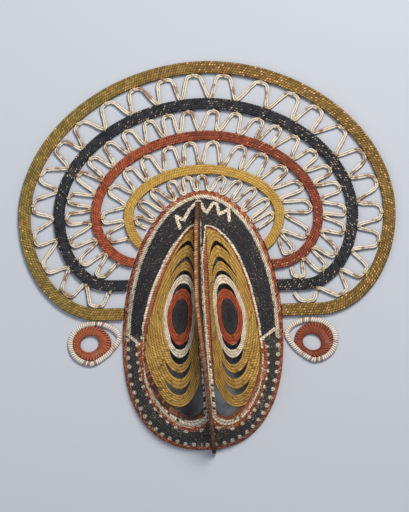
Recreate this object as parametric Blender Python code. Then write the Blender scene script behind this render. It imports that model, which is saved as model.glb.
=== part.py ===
"""Basketry yam mask that lies on its back.

A domed egg-shaped face with a nose fin and two coiled eye panels stands in a flat crest of
four horseshoe bands. Split-cane lacing fills the gaps of the crest, and an ear loop with a
coiled ring sits beside each cheek.

Metres. X runs across the face, Y from the chin to the top of the crest, Z out of the face.
The shapes are worked out about the middle of the face at its widest level. The last step
slides the whole mask so that the origin is under the middle of its outer box.
"""

import math
import random
from collections import namedtuple

import bmesh
import bpy
from mathutils import Matrix, Vector

# Clearance between two pieces that touch, and how far cutters reach past what they cut
GAP = 0.0003
CUTTER_REACH = 0.02

# Face, from its widest level up to the forehead and down to the chin
FACE_HALF_WIDTH = 0.0970
FACE_RISE = 0.180
FACE_DROP = 0.133
FACE_HEIGHT = 0.058
FACE_WALL = 0.004
CHIN_FULLNESS = 2.38
DOME_ROUNDNESS = 0.62
FACE_SPOKES = 48
FACE_RINGS = 9

# Strip between the two openings: it bends a little to one side, as the handmade face does
STRIP_OFFSET = 0.0018
STRIP_SLANT = -0.063
STRIP_BEND = 0.152
STRIP_HALF_WIDTH = 0.0075

# Openings of the face, measured from their widest level
OPENING_LEVEL = -0.014
OPENING_RISE = 0.150
OPENING_DROP = 0.081
OPENING_WIDTH_LEFT = 0.0655
OPENING_WIDTH_RIGHT = 0.0590
OPENING_TAPER_LEFT = 1.34
OPENING_TAPER_RIGHT = 1.88
OPENING_FULLNESS = 1.70
OPENING_CORNER_LEFT = 0.016
OPENING_CORNER_RIGHT = 0.012

# Nose fin. It is bowed like a part of half a wave, from a share of the wave to another. It
# leans to one side above one level, stands upright at another, and turns the other way below.
NOSE_THICKNESS = 0.0045
NOSE_HEIGHT = 0.046
NOSE_BOW_TOP = 0.15
NOSE_BOW_CHIN = 0.94
NOSE_LEAN = 0.15
NOSE_LEAN_LEVEL = 0.045
NOSE_UPRIGHT_LEVEL = -0.0665
NOSE_TOP_INSET = 0.014
NOSE_CHIN_REACH = 0.004
NOSE_ROOT = 0.004
NOSE_EDGE = 0.0012
NOSE_SECTIONS = 18

# Eye panels: each ring is named, with its reach up, down, out to the cheek and in to the nose
EYE_RINGS = (
    ("pupil", 0.0212, 0.0218, 0.0096, 0.0096),
    ("iris", 0.0330, 0.0345, 0.0156, 0.0146),
    ("white", 0.0500, 0.0500, 0.0200, 0.0180),
    ("fold_inner", 0.0660, 0.0680, 0.0285, 0.0220),
    ("fold_middle", 0.0850, 0.0875, 0.0370, 0.0260),
    ("fold_outer", 0.1150, 0.1090, 0.0500, 0.0345),
)
EYE_LEVEL = 0.029
EYE_FROM_STRIP = 0.0222
EYE_SHIFT = 0.0022
EYE_LEAN_ABOVE = 0.150
EYE_LEAN_BELOW = 0.038
EYE_SWING = 0.036
PANEL_TAPER = 1.6
PANEL_RECESS = 0.0015
PANEL_THICKNESS = 0.0035
PANEL_SPOKES = 36

# Crescent slits outside a ring: half their spread in degrees, and their width above and below
SLITS = {
    "iris": (50.0, 0.0062, 0.0054),
    "white": (40.0, 0.0044, 0.0075),
    "fold_inner": (40.0, 0.0050, 0.0066),
    "fold_middle": (30.0, 0.0050, 0.0070),
}

# Crest: bands from the face outwards, each set off from the piece inside it by gaps at the
# top, at the sides and below. The first gap at the sides counts from a line that lies in
# from the face's own sides, and the bands are widest a little below the face's top. A band
# is moved sideways and turned a little, in degrees, because the crest was laced by hand. It
# runs in under the face by a share before it is cut off at the rim.
CREST_INSET = 0.0434
CREST_BELOW_TOP = 0.030
CREST_ROUNDNESS = 1.93
CREST_DROP = 0.043
BAND_THICKNESS = 0.0075
BAND_RUN_IN = 0.6
Band = namedtuple(
    "Band", "name colour width gap_top gap_side gap_below corner shift turn segments"
)
BANDS = (
    Band("inner", "yellow", 0.0126, 0.0189, 0.0310, 0.0, 0.036, 0.0012, 1.0, 30),
    Band("red", "red", 0.0126, 0.0282, 0.0305, 0.003, 0.054, 0.0048, 0.0, 38),
    Band("black", "black", 0.0144, 0.0249, 0.0292, 0.012, 0.060, 0.0035, 0.5, 46),
    Band("outer", "olive", 0.0156, 0.0288, 0.0280, 0.0172, 0.088, 0.0048, 1.6, 56),
)

# Lacing inside each band: loops, and where it starts and stops along the gap
LACE_WIDTH = 0.0040
LACE_THICKNESS = 0.0026
LACINGS = (
    ("face", 11, 0.05, 0.95),
    ("inner", 15, 0.035, 0.985),
    ("middle", 25, 0.008, 0.992),
    ("outer", 24, 0.005, 0.995),
)
LACE_UNEVENNESS = 0.10
LACE_SQUARENESS = 0.7
LACE_SEED = 11

# Shape of one loop, in shares of the pitch across and of the gap out from the inner band
LACE_HEAD = ((-0.25, 0.78), (-0.13, 1.0), (0.13, 1.0), (0.25, 0.78))
LACE_FOOT = 0.58

# Ear loops, hung under the outer band and tied to the cheek
EAR_ROPE = 0.0054
EAR_ROPE_THICKNESS = 0.0056
EAR_HALF_HEIGHT = 0.0248
EAR_ROUND_REACH = 0.0272
EAR_POINT_REACH = 0.0335
EAR_POINT_LIFT = 0.008
EAR_TAPER = 1.55
EAR_SEGMENTS = 22
EAR_HOLE_HALF_WIDTH = 0.0113
EAR_HOLE_HALF_HEIGHT = 0.0094
EAR_DISC_THICKNESS = 0.0056
EAR_DISC_SEGMENTS = 18

COLOURS = {
    "black": (0.035, 0.038, 0.045),
    "yellow": (0.42, 0.26, 0.07),
    "olive": (0.22, 0.14, 0.03),
    "red": (0.36, 0.07, 0.025),
    "cream": (0.70, 0.58, 0.42),
    "brown": (0.36, 0.13, 0.05),
}


def egg(angle, half_width, rise, drop):
    """Point of an egg outline, round above and full below."""
    across = math.cos(angle)
    up = math.sin(angle)
    power = 2.0 if up >= 0 else CHIN_FULLNESS
    height = rise if up >= 0 else drop
    x = math.copysign(abs(across) ** (2 / power), across) * half_width
    y = math.copysign(abs(up) ** (2 / power), up) * height
    return Vector((x, y))


def egg_share(x, y, grow=0.0):
    """How far out a point lies on the face: 0 in the middle and 1 at the rim."""
    power = 2.0 if y >= 0 else CHIN_FULLNESS
    height = (FACE_RISE if y >= 0 else FACE_DROP) + grow
    across = abs(x) / (FACE_HALF_WIDTH + grow)
    return (across**power + (abs(y) / height) ** power) ** (1 / power)


def dome_height(share, height):
    """Height of the dome at a share of the way out to its rim."""
    return height * max(0.0, 1 - share * share) ** DOME_ROUNDNESS


def strip_x(y):
    """Middle of the strip between the openings."""
    return STRIP_OFFSET + STRIP_SLANT * y + STRIP_BEND * y * y


def offset_outline(points, distance):
    """Closed outline moved outwards by a distance, or inwards if it is negative."""
    count = len(points)
    area = sum(
        points[i - 1].x * points[i].y - points[i].x * points[i - 1].y for i in range(count)
    )
    side = math.copysign(1.0, area)
    moved = []
    for i, point in enumerate(points):
        before = (point - points[i - 1]).normalized()
        after = (points[(i + 1) % count] - point).normalized()
        normal = Vector((before.y + after.y, -before.x - after.x)).normalized() * side
        spread = max(0.3, math.sqrt(max(0.0, (1 + before.dot(after)) / 2)))
        moved.append(point + normal * distance / spread)
    return moved


def new_collection(name):
    collection = bpy.data.collections.new(name)
    bpy.context.scene.collection.children.link(collection)
    return collection


def principled(name, colour, roughness=0.85):
    material = bpy.data.materials.new(name)
    material.use_nodes = True
    shader = material.node_tree.nodes["Principled BSDF"]
    shader.inputs["Base Color"].default_value = (*colour, 1.0)
    shader.inputs["Roughness"].default_value = roughness
    shader.inputs["Metallic"].default_value = 0.0
    return material


def add_object(name, data, collection, colour=None):
    thing = bpy.data.objects.new(name, data)
    collection.objects.link(thing)
    if colour:
        data.materials.append(principled(name, COLOURS[colour]))
    return thing


def curve_to_mesh(thing, collection, colour=None):
    """A curve object made into a mesh object of the same name, with its caps welded on."""
    name = thing.name
    graph = bpy.context.evaluated_depsgraph_get()
    mesh = bpy.data.meshes.new_from_object(thing.evaluated_get(graph))
    matrix = thing.matrix_world.copy()
    bpy.data.objects.remove(thing)
    bm = bmesh.new()
    bm.from_mesh(mesh)
    bmesh.ops.remove_doubles(bm, verts=bm.verts, dist=1e-6)
    bmesh.ops.recalc_face_normals(bm, faces=bm.faces)
    bm.to_mesh(mesh)
    bm.free()
    mesh.materials.clear()
    made = add_object(name, mesh, collection, colour)
    made.matrix_world = matrix
    return made


def flat_plate(name, outline, low, high, collection, colour=None):
    """A plate with a flat outline between two heights."""
    curve = bpy.data.curves.new(name, "CURVE")
    curve.dimensions = "2D"
    curve.fill_mode = "BOTH"
    curve.extrude = (high - low) / 2
    spline = curve.splines.new("POLY")
    spline.points.add(len(outline) - 1)
    for point, place in zip(spline.points, outline):
        point.co = (place.x, place.y, 0.0, 1.0)
    spline.use_cyclic_u = True
    thing = add_object(name, curve, collection)
    thing.location.z = (high + low) / 2
    bpy.context.view_layer.update()
    return curve_to_mesh(thing, collection, colour)


def strap(name, route, section, level, closed, collection, colour):
    """A strap with a given section, swept along a route in the plane of the crest."""
    shape = bpy.data.curves.new(name + "_section", "CURVE")
    shape.dimensions = "2D"
    outline = shape.splines.new("POLY")
    outline.points.add(len(section) - 1)
    for point, (across, up) in zip(outline.points, section):
        point.co = (across, up, 0.0, 1.0)
    outline.use_cyclic_u = True
    guide = add_object(name + "_section", shape, collection)
    curve = bpy.data.curves.new(name, "CURVE")
    curve.dimensions = "3D"
    curve.twist_mode = "Z_UP"
    curve.bevel_mode = "OBJECT"
    curve.bevel_object = guide
    curve.use_fill_caps = not closed
    spline = curve.splines.new("POLY")
    spline.points.add(len(route) - 1)
    for point, place in zip(spline.points, route):
        point.co = (place.x, place.y, level, 1.0)
    spline.use_cyclic_u = closed
    thing = add_object(name, curve, collection)
    bpy.context.view_layer.update()
    made = curve_to_mesh(thing, collection, colour)
    bpy.data.objects.remove(guide)
    return made


def boolean(thing, cutter, operation="DIFFERENCE"):
    """Cuts a piece with a closed cutter, which stays as a hidden wire guide."""
    cutter.hide_render = True
    cutter.display_type = "WIRE"
    modifier = thing.modifiers.new(cutter.name, "BOOLEAN")
    modifier.operation = operation
    modifier.solver = "EXACT"
    modifier.object = cutter


def sheet(radii, spokes, place, open_rings=()):
    """An open round sheet: a spoke spun all the way round, each point put in place.

    The ring of faces that starts at a radius in open_rings is left out. Where its two edges
    are put in one place they are joined, so it stays open as a slit elsewhere.
    """
    bm = bmesh.new()
    spoke = [bm.verts.new((radius, 0.0, 0.0)) for radius in radii]
    edges = [bm.edges.new(pair) for pair in zip(spoke, spoke[1:])]
    bmesh.ops.spin(
        bm, geom=spoke + edges, axis=(0, 0, 1), cent=(0, 0, 0),
        angle=math.tau, steps=spokes, use_merge=True,
    )
    bmesh.ops.remove_doubles(bm, verts=bm.verts, dist=1e-5)
    left_out = [
        face for face in bm.faces if int(face.calc_center_median().length) in open_rings
    ]
    bmesh.ops.delete(bm, geom=left_out, context="FACES")
    for vert in bm.verts:
        vert.co = place(vert.co.xy.length, math.atan2(vert.co.y, vert.co.x))
    bmesh.ops.remove_doubles(bm, verts=bm.verts, dist=1e-6)
    return bm


def close_sheet(bm, inner):
    """Thickens a sheet: its copy is moved by a function and joined to it round the edge."""
    extruded = bmesh.ops.extrude_face_region(bm, geom=bm.faces[:], use_keep_orig=True)
    for vert in extruded["geom"]:
        if isinstance(vert, bmesh.types.BMVert):
            vert.co = inner(vert.co)
    bmesh.ops.recalc_face_normals(bm, faces=bm.faces)


def band_section(width, thickness):
    """Flat in front and behind, and drawn to an edge at both sides."""
    side = width / 2
    flat = side - 0.3 * min(width, thickness)
    deep = thickness / 2
    return [(-side, 0), (-flat, -deep), (flat, -deep), (side, 0), (flat, deep), (-flat, deep)]


def cane_section(width, thickness):
    """Plain flat cane."""
    side = width / 2
    deep = thickness / 2
    return [(-side, -deep), (side, -deep), (side, deep), (-side, deep)]


def mesh_object(name, bm, collection, colour=None):
    mesh = bpy.data.meshes.new(name)
    bm.to_mesh(mesh)
    bm.free()
    return add_object(name, mesh, collection, colour)


def dome_place(share, angle, grow=0.0):
    """Point on the dome for a share of the way to the rim and an angle."""
    rim = egg(angle, FACE_HALF_WIDTH + grow, FACE_RISE + grow, FACE_DROP + grow)
    height = dome_height(share, FACE_HEIGHT + grow)
    return Vector((rim.x * share, rim.y * share, height))


def dome_radii():
    """Rings of the dome, closer together towards the steep rim."""
    steps = range(FACE_RINGS + 1)
    return [math.sin(math.pi / 2 * step / FACE_RINGS) for step in steps]


def opening_outline(side, inset=0.0):
    """Teardrop opening of one cheek, from its tip down the cheek and back up the nose."""
    width = OPENING_WIDTH_LEFT if side < 0 else OPENING_WIDTH_RIGHT
    taper = OPENING_TAPER_LEFT if side < 0 else OPENING_TAPER_RIGHT
    corner = OPENING_CORNER_LEFT if side < 0 else OPENING_CORNER_RIGHT
    points = []
    steps = 12
    for i in range(steps + 1):
        turn = math.pi / 2 * i / steps
        y = OPENING_LEVEL + OPENING_RISE * math.cos(turn) ** (2 / taper)
        points.append((y, width * math.sin(turn) ** (2 / taper)))
    for i in range(1, steps + 1):
        turn = math.pi / 2 * i / steps
        y = OPENING_LEVEL - OPENING_DROP * math.sin(turn) ** (2 / OPENING_FULLNESS)
        reach = math.cos(turn) ** (2 / OPENING_FULLNESS)
        points.append((y, corner + (width - corner) * reach))
    corner_steps = 4
    for i in range(1, corner_steps + 1):
        turn = math.pi / 2 * i / corner_steps
        y = OPENING_LEVEL - OPENING_DROP + corner * (1 - math.cos(turn))
        points.append((y, corner * (1 - math.sin(turn))))
    climb = 6
    low = OPENING_LEVEL - OPENING_DROP + corner
    high = OPENING_LEVEL + OPENING_RISE
    for i in range(1, climb):
        points.append((low + (high - low) * i / climb, 0.0))
    outline = [Vector((strip_x(y) + side * (STRIP_HALF_WIDTH + x), y)) for y, x in points]
    return offset_outline(outline, -inset) if inset else outline


def eye_centre(side):
    """Middle of an eye, set off from the strip. Both eyes are shifted a little to one side."""
    from_middle = STRIP_HALF_WIDTH + EYE_FROM_STRIP
    return Vector((strip_x(EYE_LEVEL) + EYE_SHIFT + side * from_middle, EYE_LEVEL))


def ring_place(side, ring, angle, grow=0.0):
    """Point of an eye ring. The angle runs from the cheek side up and over to the nose."""
    _, up, down, out, inward = ring
    across = math.cos(angle)
    rise = math.sin(angle)
    power = PANEL_TAPER if rise > 0 and up > 0.06 else 2.0
    width = (out if across > 0 else inward) + grow
    height = (up if rise > 0 else down) + grow
    x = math.copysign(abs(across) ** (2 / power), across) * width
    y = math.copysign(abs(rise) ** (2 / power), rise) * height
    lean = (EYE_LEAN_ABOVE if rise > 0 else EYE_LEAN_BELOW) + side * EYE_SWING
    return eye_centre(side) + Vector((side * (x - lean * y), y))


def panel_front(x, y):
    """Height of an eye panel's front."""
    return dome_height(egg_share(x, y), FACE_HEIGHT) - PANEL_RECESS


def slit_swell(name, angle):
    """Width of the slit outside a ring at an angle: widest straight above and below."""
    spread, above, below = SLITS[name]
    width = above if angle > 0 else below
    off = abs(abs(angle) - math.pi / 2) / math.radians(spread)
    return width * math.cos(math.pi / 2 * off) if off < 0.999 else 0.0


def eye_panel(name, side, pieces, cutters):
    """A coiled panel with slits, which fills an opening down to a gap at the chin."""
    middle = eye_centre(side)
    lines = []
    slits = []
    for ring in EYE_RINGS:
        lines.append((ring, False))
        if ring[0] in SLITS:
            slits.append(len(lines))
            lines.append((ring, True))

    def place(radius, angle):
        index = round(radius)
        if index == 0:
            point = middle
        else:
            ring, lip = lines[index - 1]
            grow = slit_swell(ring[0], angle) if lip else 0.0
            point = ring_place(side, ring, angle, grow)
        return Vector((point.x, point.y, panel_front(point.x, point.y)))

    def behind(point):
        return point - Vector((0.0, 0.0, PANEL_THICKNESS))

    bm = sheet(range(len(lines) + 1), PANEL_SPOKES, place, slits)
    close_sheet(bm, behind)
    panel = mesh_object(name, bm, pieces, "yellow")
    outline = opening_outline(side, GAP)
    high = FACE_HEIGHT + CUTTER_REACH
    fit = flat_plate(name + "_fit", outline, -CUTTER_REACH, high, cutters)
    boolean(panel, fit, "INTERSECT")
    return panel


def face_border(pieces, cutters):
    """The domed border of the face, hollow behind, with its two openings."""
    bm = sheet(dome_radii(), FACE_SPOKES, dome_place)

    def inside(point):
        share = egg_share(point.x, point.y)
        shrink = 1 - FACE_WALL / FACE_HALF_WIDTH
        level = dome_height(share, FACE_HEIGHT - FACE_WALL)
        return Vector((point.x * shrink, point.y * shrink, level))

    close_sheet(bm, inside)
    border = mesh_object("face_border", bm, pieces, "black")
    high = FACE_HEIGHT + CUTTER_REACH
    for side, word in ((-1, "left"), (1, "right")):
        outline = opening_outline(side)
        boolean(border, flat_plate("opening_" + word, outline, -CUTTER_REACH, high, cutters))
    return border


def dome_block(name, grow, cutters):
    """Solid block with the dome's front, grown a little, reaching below the floor."""
    bm = sheet(dome_radii(), FACE_SPOKES, lambda share, angle: dome_place(share, angle, grow))
    close_sheet(bm, lambda point: Vector((point.x, point.y, -CUTTER_REACH)))
    return mesh_object(name, bm, cutters)


def nose_base(y):
    """Height of the dome under the fin."""
    return dome_height(egg_share(strip_x(y), y), FACE_HEIGHT)


def nose_lean(y):
    """Slope by which the fin leans over at a level."""
    share = (y - NOSE_UPRIGHT_LEVEL) / (NOSE_LEAN_LEVEL - NOSE_UPRIGHT_LEVEL)
    return NOSE_LEAN * min(1.0, share)


def nose_ridge(pieces, cutters):
    """The fin: a flat outline stood on edge, leaned over and seated on the dome."""
    top = FACE_RISE - NOSE_TOP_INSET
    chin = -FACE_DROP - NOSE_CHIN_REACH
    front = []
    back = []
    for i in range(NOSE_SECTIONS + 1):
        share = i / NOSE_SECTIONS
        y = top + (chin - top) * share
        wave = NOSE_BOW_TOP + (NOSE_BOW_CHIN - NOSE_BOW_TOP) * share
        stand = NOSE_HEIGHT * math.sin(math.pi * wave)
        front.append(Vector((y, nose_base(y) + stand)))
        back.append(Vector((y, max(GAP, nose_base(y) - NOSE_ROOT))))
    half = NOSE_THICKNESS / 2
    fin = flat_plate("nose_ridge", front + back[::-1], -half, half, pieces, "brown")
    bm = bmesh.new()
    bm.from_mesh(fin.data)
    bmesh.ops.translate(bm, verts=bm.verts, vec=fin.location)
    edges = []
    for edge in bm.edges:
        stands = all(vert.co.y > nose_base(vert.co.x) + GAP for vert in edge.verts)
        runs = abs(edge.verts[0].co.z - edge.verts[1].co.z) < half
        if stands and runs and edge.is_manifold and edge.calc_face_angle() > 1.0:
            edges.append(edge)
    bmesh.ops.bevel(bm, geom=edges, offset=NOSE_EDGE, segments=1, profile=0.5, affect="EDGES")
    for vert in bm.verts:
        y, z, across = vert.co
        aside = nose_lean(y) * max(0.0, z - nose_base(y))
        vert.co = (strip_x(y) + across - aside, y, z)
    bmesh.ops.recalc_face_normals(bm, faces=bm.faces)
    bm.to_mesh(fin.data)
    bm.free()
    fin.location = (0.0, 0.0, 0.0)
    boolean(fin, dome_block("nose_seat", GAP, cutters))
    return fin


def along(path, share):
    """Point at a share of the way along an open path."""
    steps = [(b - a).length for a, b in zip(path, path[1:])]
    left = share * sum(steps)
    for start, end, step in zip(path, path[1:], steps):
        if left <= step:
            return start.lerp(end, left / step if step else 0.0)
        left -= step
    return path[-1].copy()


def shifted(path, distance):
    """Open path moved sideways: outwards for the crest if the distance is above zero."""
    moved = []
    for i, point in enumerate(path):
        ahead = path[min(i + 1, len(path) - 1)] - path[max(i - 1, 0)]
        ahead.normalize()
        moved.append(point + Vector((-ahead.y, ahead.x)) * distance)
    return moved


def horseshoe(half_width, top, drop, band):
    """Centre line of a crest band from its left end, over the top, to its right end."""
    level = FACE_RISE - CREST_BELOW_TOP
    right = []
    steps = 48
    for i in range(steps + 1):
        turn = math.pi / 2 * i / steps
        x = half_width * math.sin(turn) ** (2 / CREST_ROUNDNESS)
        right.append(Vector((x, (top - level) * math.cos(turn) ** (2 / CREST_ROUNDNESS))))
    for i in range(1, steps // 2 + 1):
        turn = math.pi / 2 * i / (steps // 2)
        x = half_width - band.corner * (1 - math.cos(turn))
        right.append(Vector((x, -drop * math.sin(turn))))
    end = BAND_RUN_IN * min(half_width - band.corner, FACE_HALF_WIDTH)
    right.append(Vector((end, -drop)))
    left = [Vector((-point.x, point.y)) for point in right[:0:-1]]
    turned = Matrix.Rotation(math.radians(band.turn), 2)
    centre = Vector((band.shift, level))
    line = [centre + turned @ point for point in left + right]
    return [along(line, i / band.segments) for i in range(band.segments + 1)]


def crest_routes():
    """Route of each band, worked out from the face outwards."""
    half_width = FACE_HALF_WIDTH - CREST_INSET
    top = FACE_RISE
    drop = CREST_DROP
    routes = {}
    for band in BANDS:
        half_width += band.gap_side + band.width / 2
        top += band.gap_top + band.width / 2
        if routes:
            drop += band.gap_below + band.width / 2
        routes[band.name] = horseshoe(half_width, top, drop, band)
        half_width += band.width / 2
        top += band.width / 2
        drop += band.width / 2
    return routes


def egg_half_width(y):
    """Half the face's width at a level."""
    power = 2.0 if y >= 0 else CHIN_FULLNESS
    height = FACE_RISE if y >= 0 else FACE_DROP
    return FACE_HALF_WIDTH * max(0.0, 1 - (abs(y) / height) ** power) ** (1 / power)


def crest_band(band, route, pieces, seat):
    """One horseshoe band, cut to fit against the rim of the face."""
    section = band_section(band.width, BAND_THICKNESS)
    level = BAND_THICKNESS / 2
    label = "crest_band_" + band.name
    made = strap(label, route, section, level, False, pieces, band.colour)
    boolean(made, seat)
    return made


def outside_face(path, margin):
    """The part of a path that lies clear of the face."""
    return [point for point in path if egg_share(point.x, point.y, margin) > 1.0]


def facing_share(path, point):
    """How far along a path, as a share, the place nearest to a point lies."""
    best = None
    walked = 0.0
    for start, end in zip(path, path[1:]):
        step = end - start
        part = min(1.0, max(0.0, (point - start).dot(step) / step.length_squared))
        away = (start + step * part - point).length
        if best is None or away < best[0]:
            best = (away, walked + step.length * part)
        walked += step.length
    return best[1] / walked


def lacing(name, outer_path, inner_path, loops, start, stop, pieces):
    """Zigzag of split cane: round turns under the outer band and tight ones on the inner."""
    chance = random.Random(LACE_SEED)
    pitch = (stop - start) / loops
    foot = LACE_FOOT * LACE_WIDTH / path_length(inner_path)

    def across_gap(share, out, beside=0.0):
        outer = along(outer_path, share)
        square = facing_share(inner_path, outer)
        inner = along(inner_path, share + (square - share) * LACE_SQUARENESS + beside)
        return inner.lerp(outer, out)

    feet = [start + pitch * i for i in range(loops + 1)]
    for i in range(1, loops):
        feet[i] += pitch * chance.uniform(-LACE_UNEVENNESS, LACE_UNEVENNESS)
    route = []
    for left, right in zip(feet, feet[1:]):
        head = (left + right) / 2 + pitch * chance.uniform(-LACE_UNEVENNESS, LACE_UNEVENNESS)
        route.append(across_gap(left, 0.0, foot))
        for across, out in LACE_HEAD:
            route.append(across_gap(head + across * pitch, out))
        route.append(across_gap(right, 0.0, -foot))
    section = cane_section(LACE_WIDTH, LACE_THICKNESS)
    return strap("lacing_" + name, route, section, BAND_THICKNESS / 2, False, pieces, "cream")


def path_length(path):
    return sum((b - a).length for a, b in zip(path, path[1:]))


def rim_path(low, margin):
    """The rim over the forehead, between the two places at a level."""
    turn = math.asin(low / FACE_RISE)
    steps = 60
    points = []
    for i in range(steps + 1):
        angle = math.pi - turn - (math.pi - 2 * turn) * i / steps
        points.append(egg(angle, FACE_HALF_WIDTH + margin, FACE_RISE + margin, FACE_DROP))
    return points


def crest(pieces, cutters):
    """The four bands and the lacing in the four gaps inside them."""
    rim = [
        egg(math.tau * i / FACE_SPOKES, FACE_HALF_WIDTH, FACE_RISE, FACE_DROP)
        for i in range(FACE_SPOKES)
    ]
    outline = offset_outline(rim, GAP)
    seat = flat_plate("face_seat", outline, -CUTTER_REACH, CUTTER_REACH, cutters)
    routes = crest_routes()
    reach = GAP + LACE_WIDTH / 2
    inner_path = None
    for band, (name, loops, start, stop) in zip(BANDS, LACINGS):
        route = routes[band.name]
        crest_band(band, route, pieces, seat)
        outer_path = outside_face(shifted(route, -band.width / 2 - reach), reach)
        if inner_path is None:
            inner_path = rim_path(outer_path[0].y, reach)
        lacing(name, outer_path, inner_path, loops, start, stop, pieces)
        inner_path = outside_face(shifted(route, band.width / 2 + reach), reach)
    return routes


def pear(centre, side, inset=0.0):
    """Ear loop outline: round towards the outside and drawn to a point at the cheek."""
    points = []
    for i in range(EAR_SEGMENTS):
        angle = math.tau * i / EAR_SEGMENTS
        across = math.cos(angle)
        up = math.sin(angle)
        power = EAR_TAPER if across > 0 else 2.0
        reach = EAR_POINT_REACH if across > 0 else EAR_ROUND_REACH
        x = math.copysign(abs(across) ** (2 / power), across) * reach
        y = math.copysign(abs(up) ** (2 / power), up) * EAR_HALF_HEIGHT
        y += EAR_POINT_LIFT * max(0.0, x / EAR_POINT_REACH)
        points.append(centre + Vector((-side * x, y)))
    return offset_outline(points, -inset) if inset else points


def ear(side, word, outer_route, pieces, cutters):
    """White rope loop hung under the outer band, and the red coiled ring inside it."""
    cheek = FACE_HALF_WIDTH + EAR_POINT_REACH
    near = [point.y for point in outer_route if 0 < side * point.x < cheek + EAR_HALF_HEIGHT]
    low = min(near) - BANDS[-1].width / 2
    y = low - GAP - EAR_ROPE / 2 - EAR_HALF_HEIGHT
    rim = egg_half_width(y + EAR_POINT_LIFT)
    centre = Vector((side * (rim + GAP + EAR_ROPE / 2 + EAR_POINT_REACH), y))
    section = band_section(EAR_ROPE, EAR_ROPE_THICKNESS)
    level = EAR_ROPE_THICKNESS / 2
    strap("ear_ring_" + word, pear(centre, side), section, level, True, pieces, "cream")
    room = EAR_ROPE / 2 + GAP
    half_width = (EAR_ROUND_REACH - room + EAR_HOLE_HALF_WIDTH) / 2
    half_height = (EAR_HALF_HEIGHT - room + EAR_HOLE_HALF_HEIGHT) / 2
    width = EAR_HALF_HEIGHT - room - EAR_HOLE_HALF_HEIGHT
    route = []
    for i in range(EAR_DISC_SEGMENTS):
        angle = math.tau * i / EAR_DISC_SEGMENTS
        place = Vector((half_width * math.cos(angle), half_height * math.sin(angle)))
        route.append(centre + place)
    section = band_section(width, EAR_DISC_THICKNESS)
    level = EAR_DISC_THICKNESS / 2
    disc = strap("ear_disc_" + word, route, section, level, True, pieces, "red")
    outline = pear(centre, side, room)
    fit = flat_plate("ear_fit_" + word, outline, -CUTTER_REACH, CUTTER_REACH, cutters)
    boolean(disc, fit, "INTERSECT")


def centre_on_box(pieces, cutters):
    """Slides everything so that the origin is under the middle of the outer box."""
    bpy.context.view_layer.update()
    graph = bpy.context.evaluated_depsgraph_get()
    corners = []
    for thing in pieces.objects:
        seen = thing.evaluated_get(graph)
        corners += [seen.matrix_world @ Vector(corner) for corner in seen.bound_box]
    middle = Vector((
        (min(c.x for c in corners) + max(c.x for c in corners)) / 2,
        (min(c.y for c in corners) + max(c.y for c in corners)) / 2,
        min(c.z for c in corners),
    ))
    for thing in list(pieces.objects) + list(cutters.objects):
        thing.matrix_world = Matrix.Translation(-middle) @ thing.matrix_world


def main():
    for old in list(bpy.data.objects):
        bpy.data.objects.remove(old, do_unlink=True)
    pieces = new_collection("yam_mask")
    cutters = new_collection("cutters")
    face_border(pieces, cutters)
    nose_ridge(pieces, cutters)
    for side, word in ((-1, "left"), (1, "right")):
        eye_panel("eye_panel_" + word, side, pieces, cutters)
    routes = crest(pieces, cutters)
    for side, word in ((-1, "left"), (1, "right")):
        ear(side, word, routes["outer"], pieces, cutters)
    centre_on_box(pieces, cutters)


main()
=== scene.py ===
# %% [markdown]
# # A basketry yam mask
#
# The real mask is coiled from cane: long bundles are laid side by side and stitched together,
# row on row, then painted with earth colours. A domed face with a tall nose fin stands in a
# flat crest of four bands, and split cane is laced to and fro in the gaps between them.
#
# The solids of the mask are loaded first as a fixed frame. Each of them is then replaced by a
# finer piece in the same place, on which every row and stitch can be seen.

# %% Load the frame
import math
import random
from collections import namedtuple

import bmesh
import bpy
from mathutils import Matrix, Vector, kdtree


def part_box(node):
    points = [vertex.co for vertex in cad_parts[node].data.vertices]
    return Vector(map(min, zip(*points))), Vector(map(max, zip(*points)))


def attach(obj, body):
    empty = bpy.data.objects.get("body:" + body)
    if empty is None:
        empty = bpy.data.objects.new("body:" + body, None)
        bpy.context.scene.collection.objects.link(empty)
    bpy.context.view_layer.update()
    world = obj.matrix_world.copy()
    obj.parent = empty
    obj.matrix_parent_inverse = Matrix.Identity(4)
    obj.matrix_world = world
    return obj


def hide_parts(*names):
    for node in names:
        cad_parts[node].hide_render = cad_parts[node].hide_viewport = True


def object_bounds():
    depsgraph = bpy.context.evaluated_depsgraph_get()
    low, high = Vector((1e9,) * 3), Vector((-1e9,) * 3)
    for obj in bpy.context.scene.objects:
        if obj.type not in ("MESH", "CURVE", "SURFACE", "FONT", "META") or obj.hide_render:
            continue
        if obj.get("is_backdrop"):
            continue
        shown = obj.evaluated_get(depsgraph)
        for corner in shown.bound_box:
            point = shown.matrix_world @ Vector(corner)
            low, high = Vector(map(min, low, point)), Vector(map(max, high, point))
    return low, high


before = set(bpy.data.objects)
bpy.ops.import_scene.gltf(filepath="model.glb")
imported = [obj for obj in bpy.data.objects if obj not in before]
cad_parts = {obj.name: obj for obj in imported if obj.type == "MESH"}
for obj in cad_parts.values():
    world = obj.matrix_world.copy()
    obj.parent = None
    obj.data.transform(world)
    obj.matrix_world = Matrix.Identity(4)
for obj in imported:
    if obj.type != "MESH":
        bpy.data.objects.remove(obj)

solid_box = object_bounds()
FACE_DROP = 0.133
low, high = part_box("face_border")
CENTRE = Vector(((low.x + high.x) / 2, low.y + FACE_DROP, 0.0))
print("solids from", tuple(solid_box[0]), "to", tuple(solid_box[1]))
print("middle of the face at its widest level", tuple(CENTRE))

# %% [markdown]
# ## Shader sums written as Python
#
# A material is a net of nodes, and long sums are hard to read as nodes. A small class wraps a
# node's output and gives it plus, minus and times, so that a pattern is written as a formula.

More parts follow.
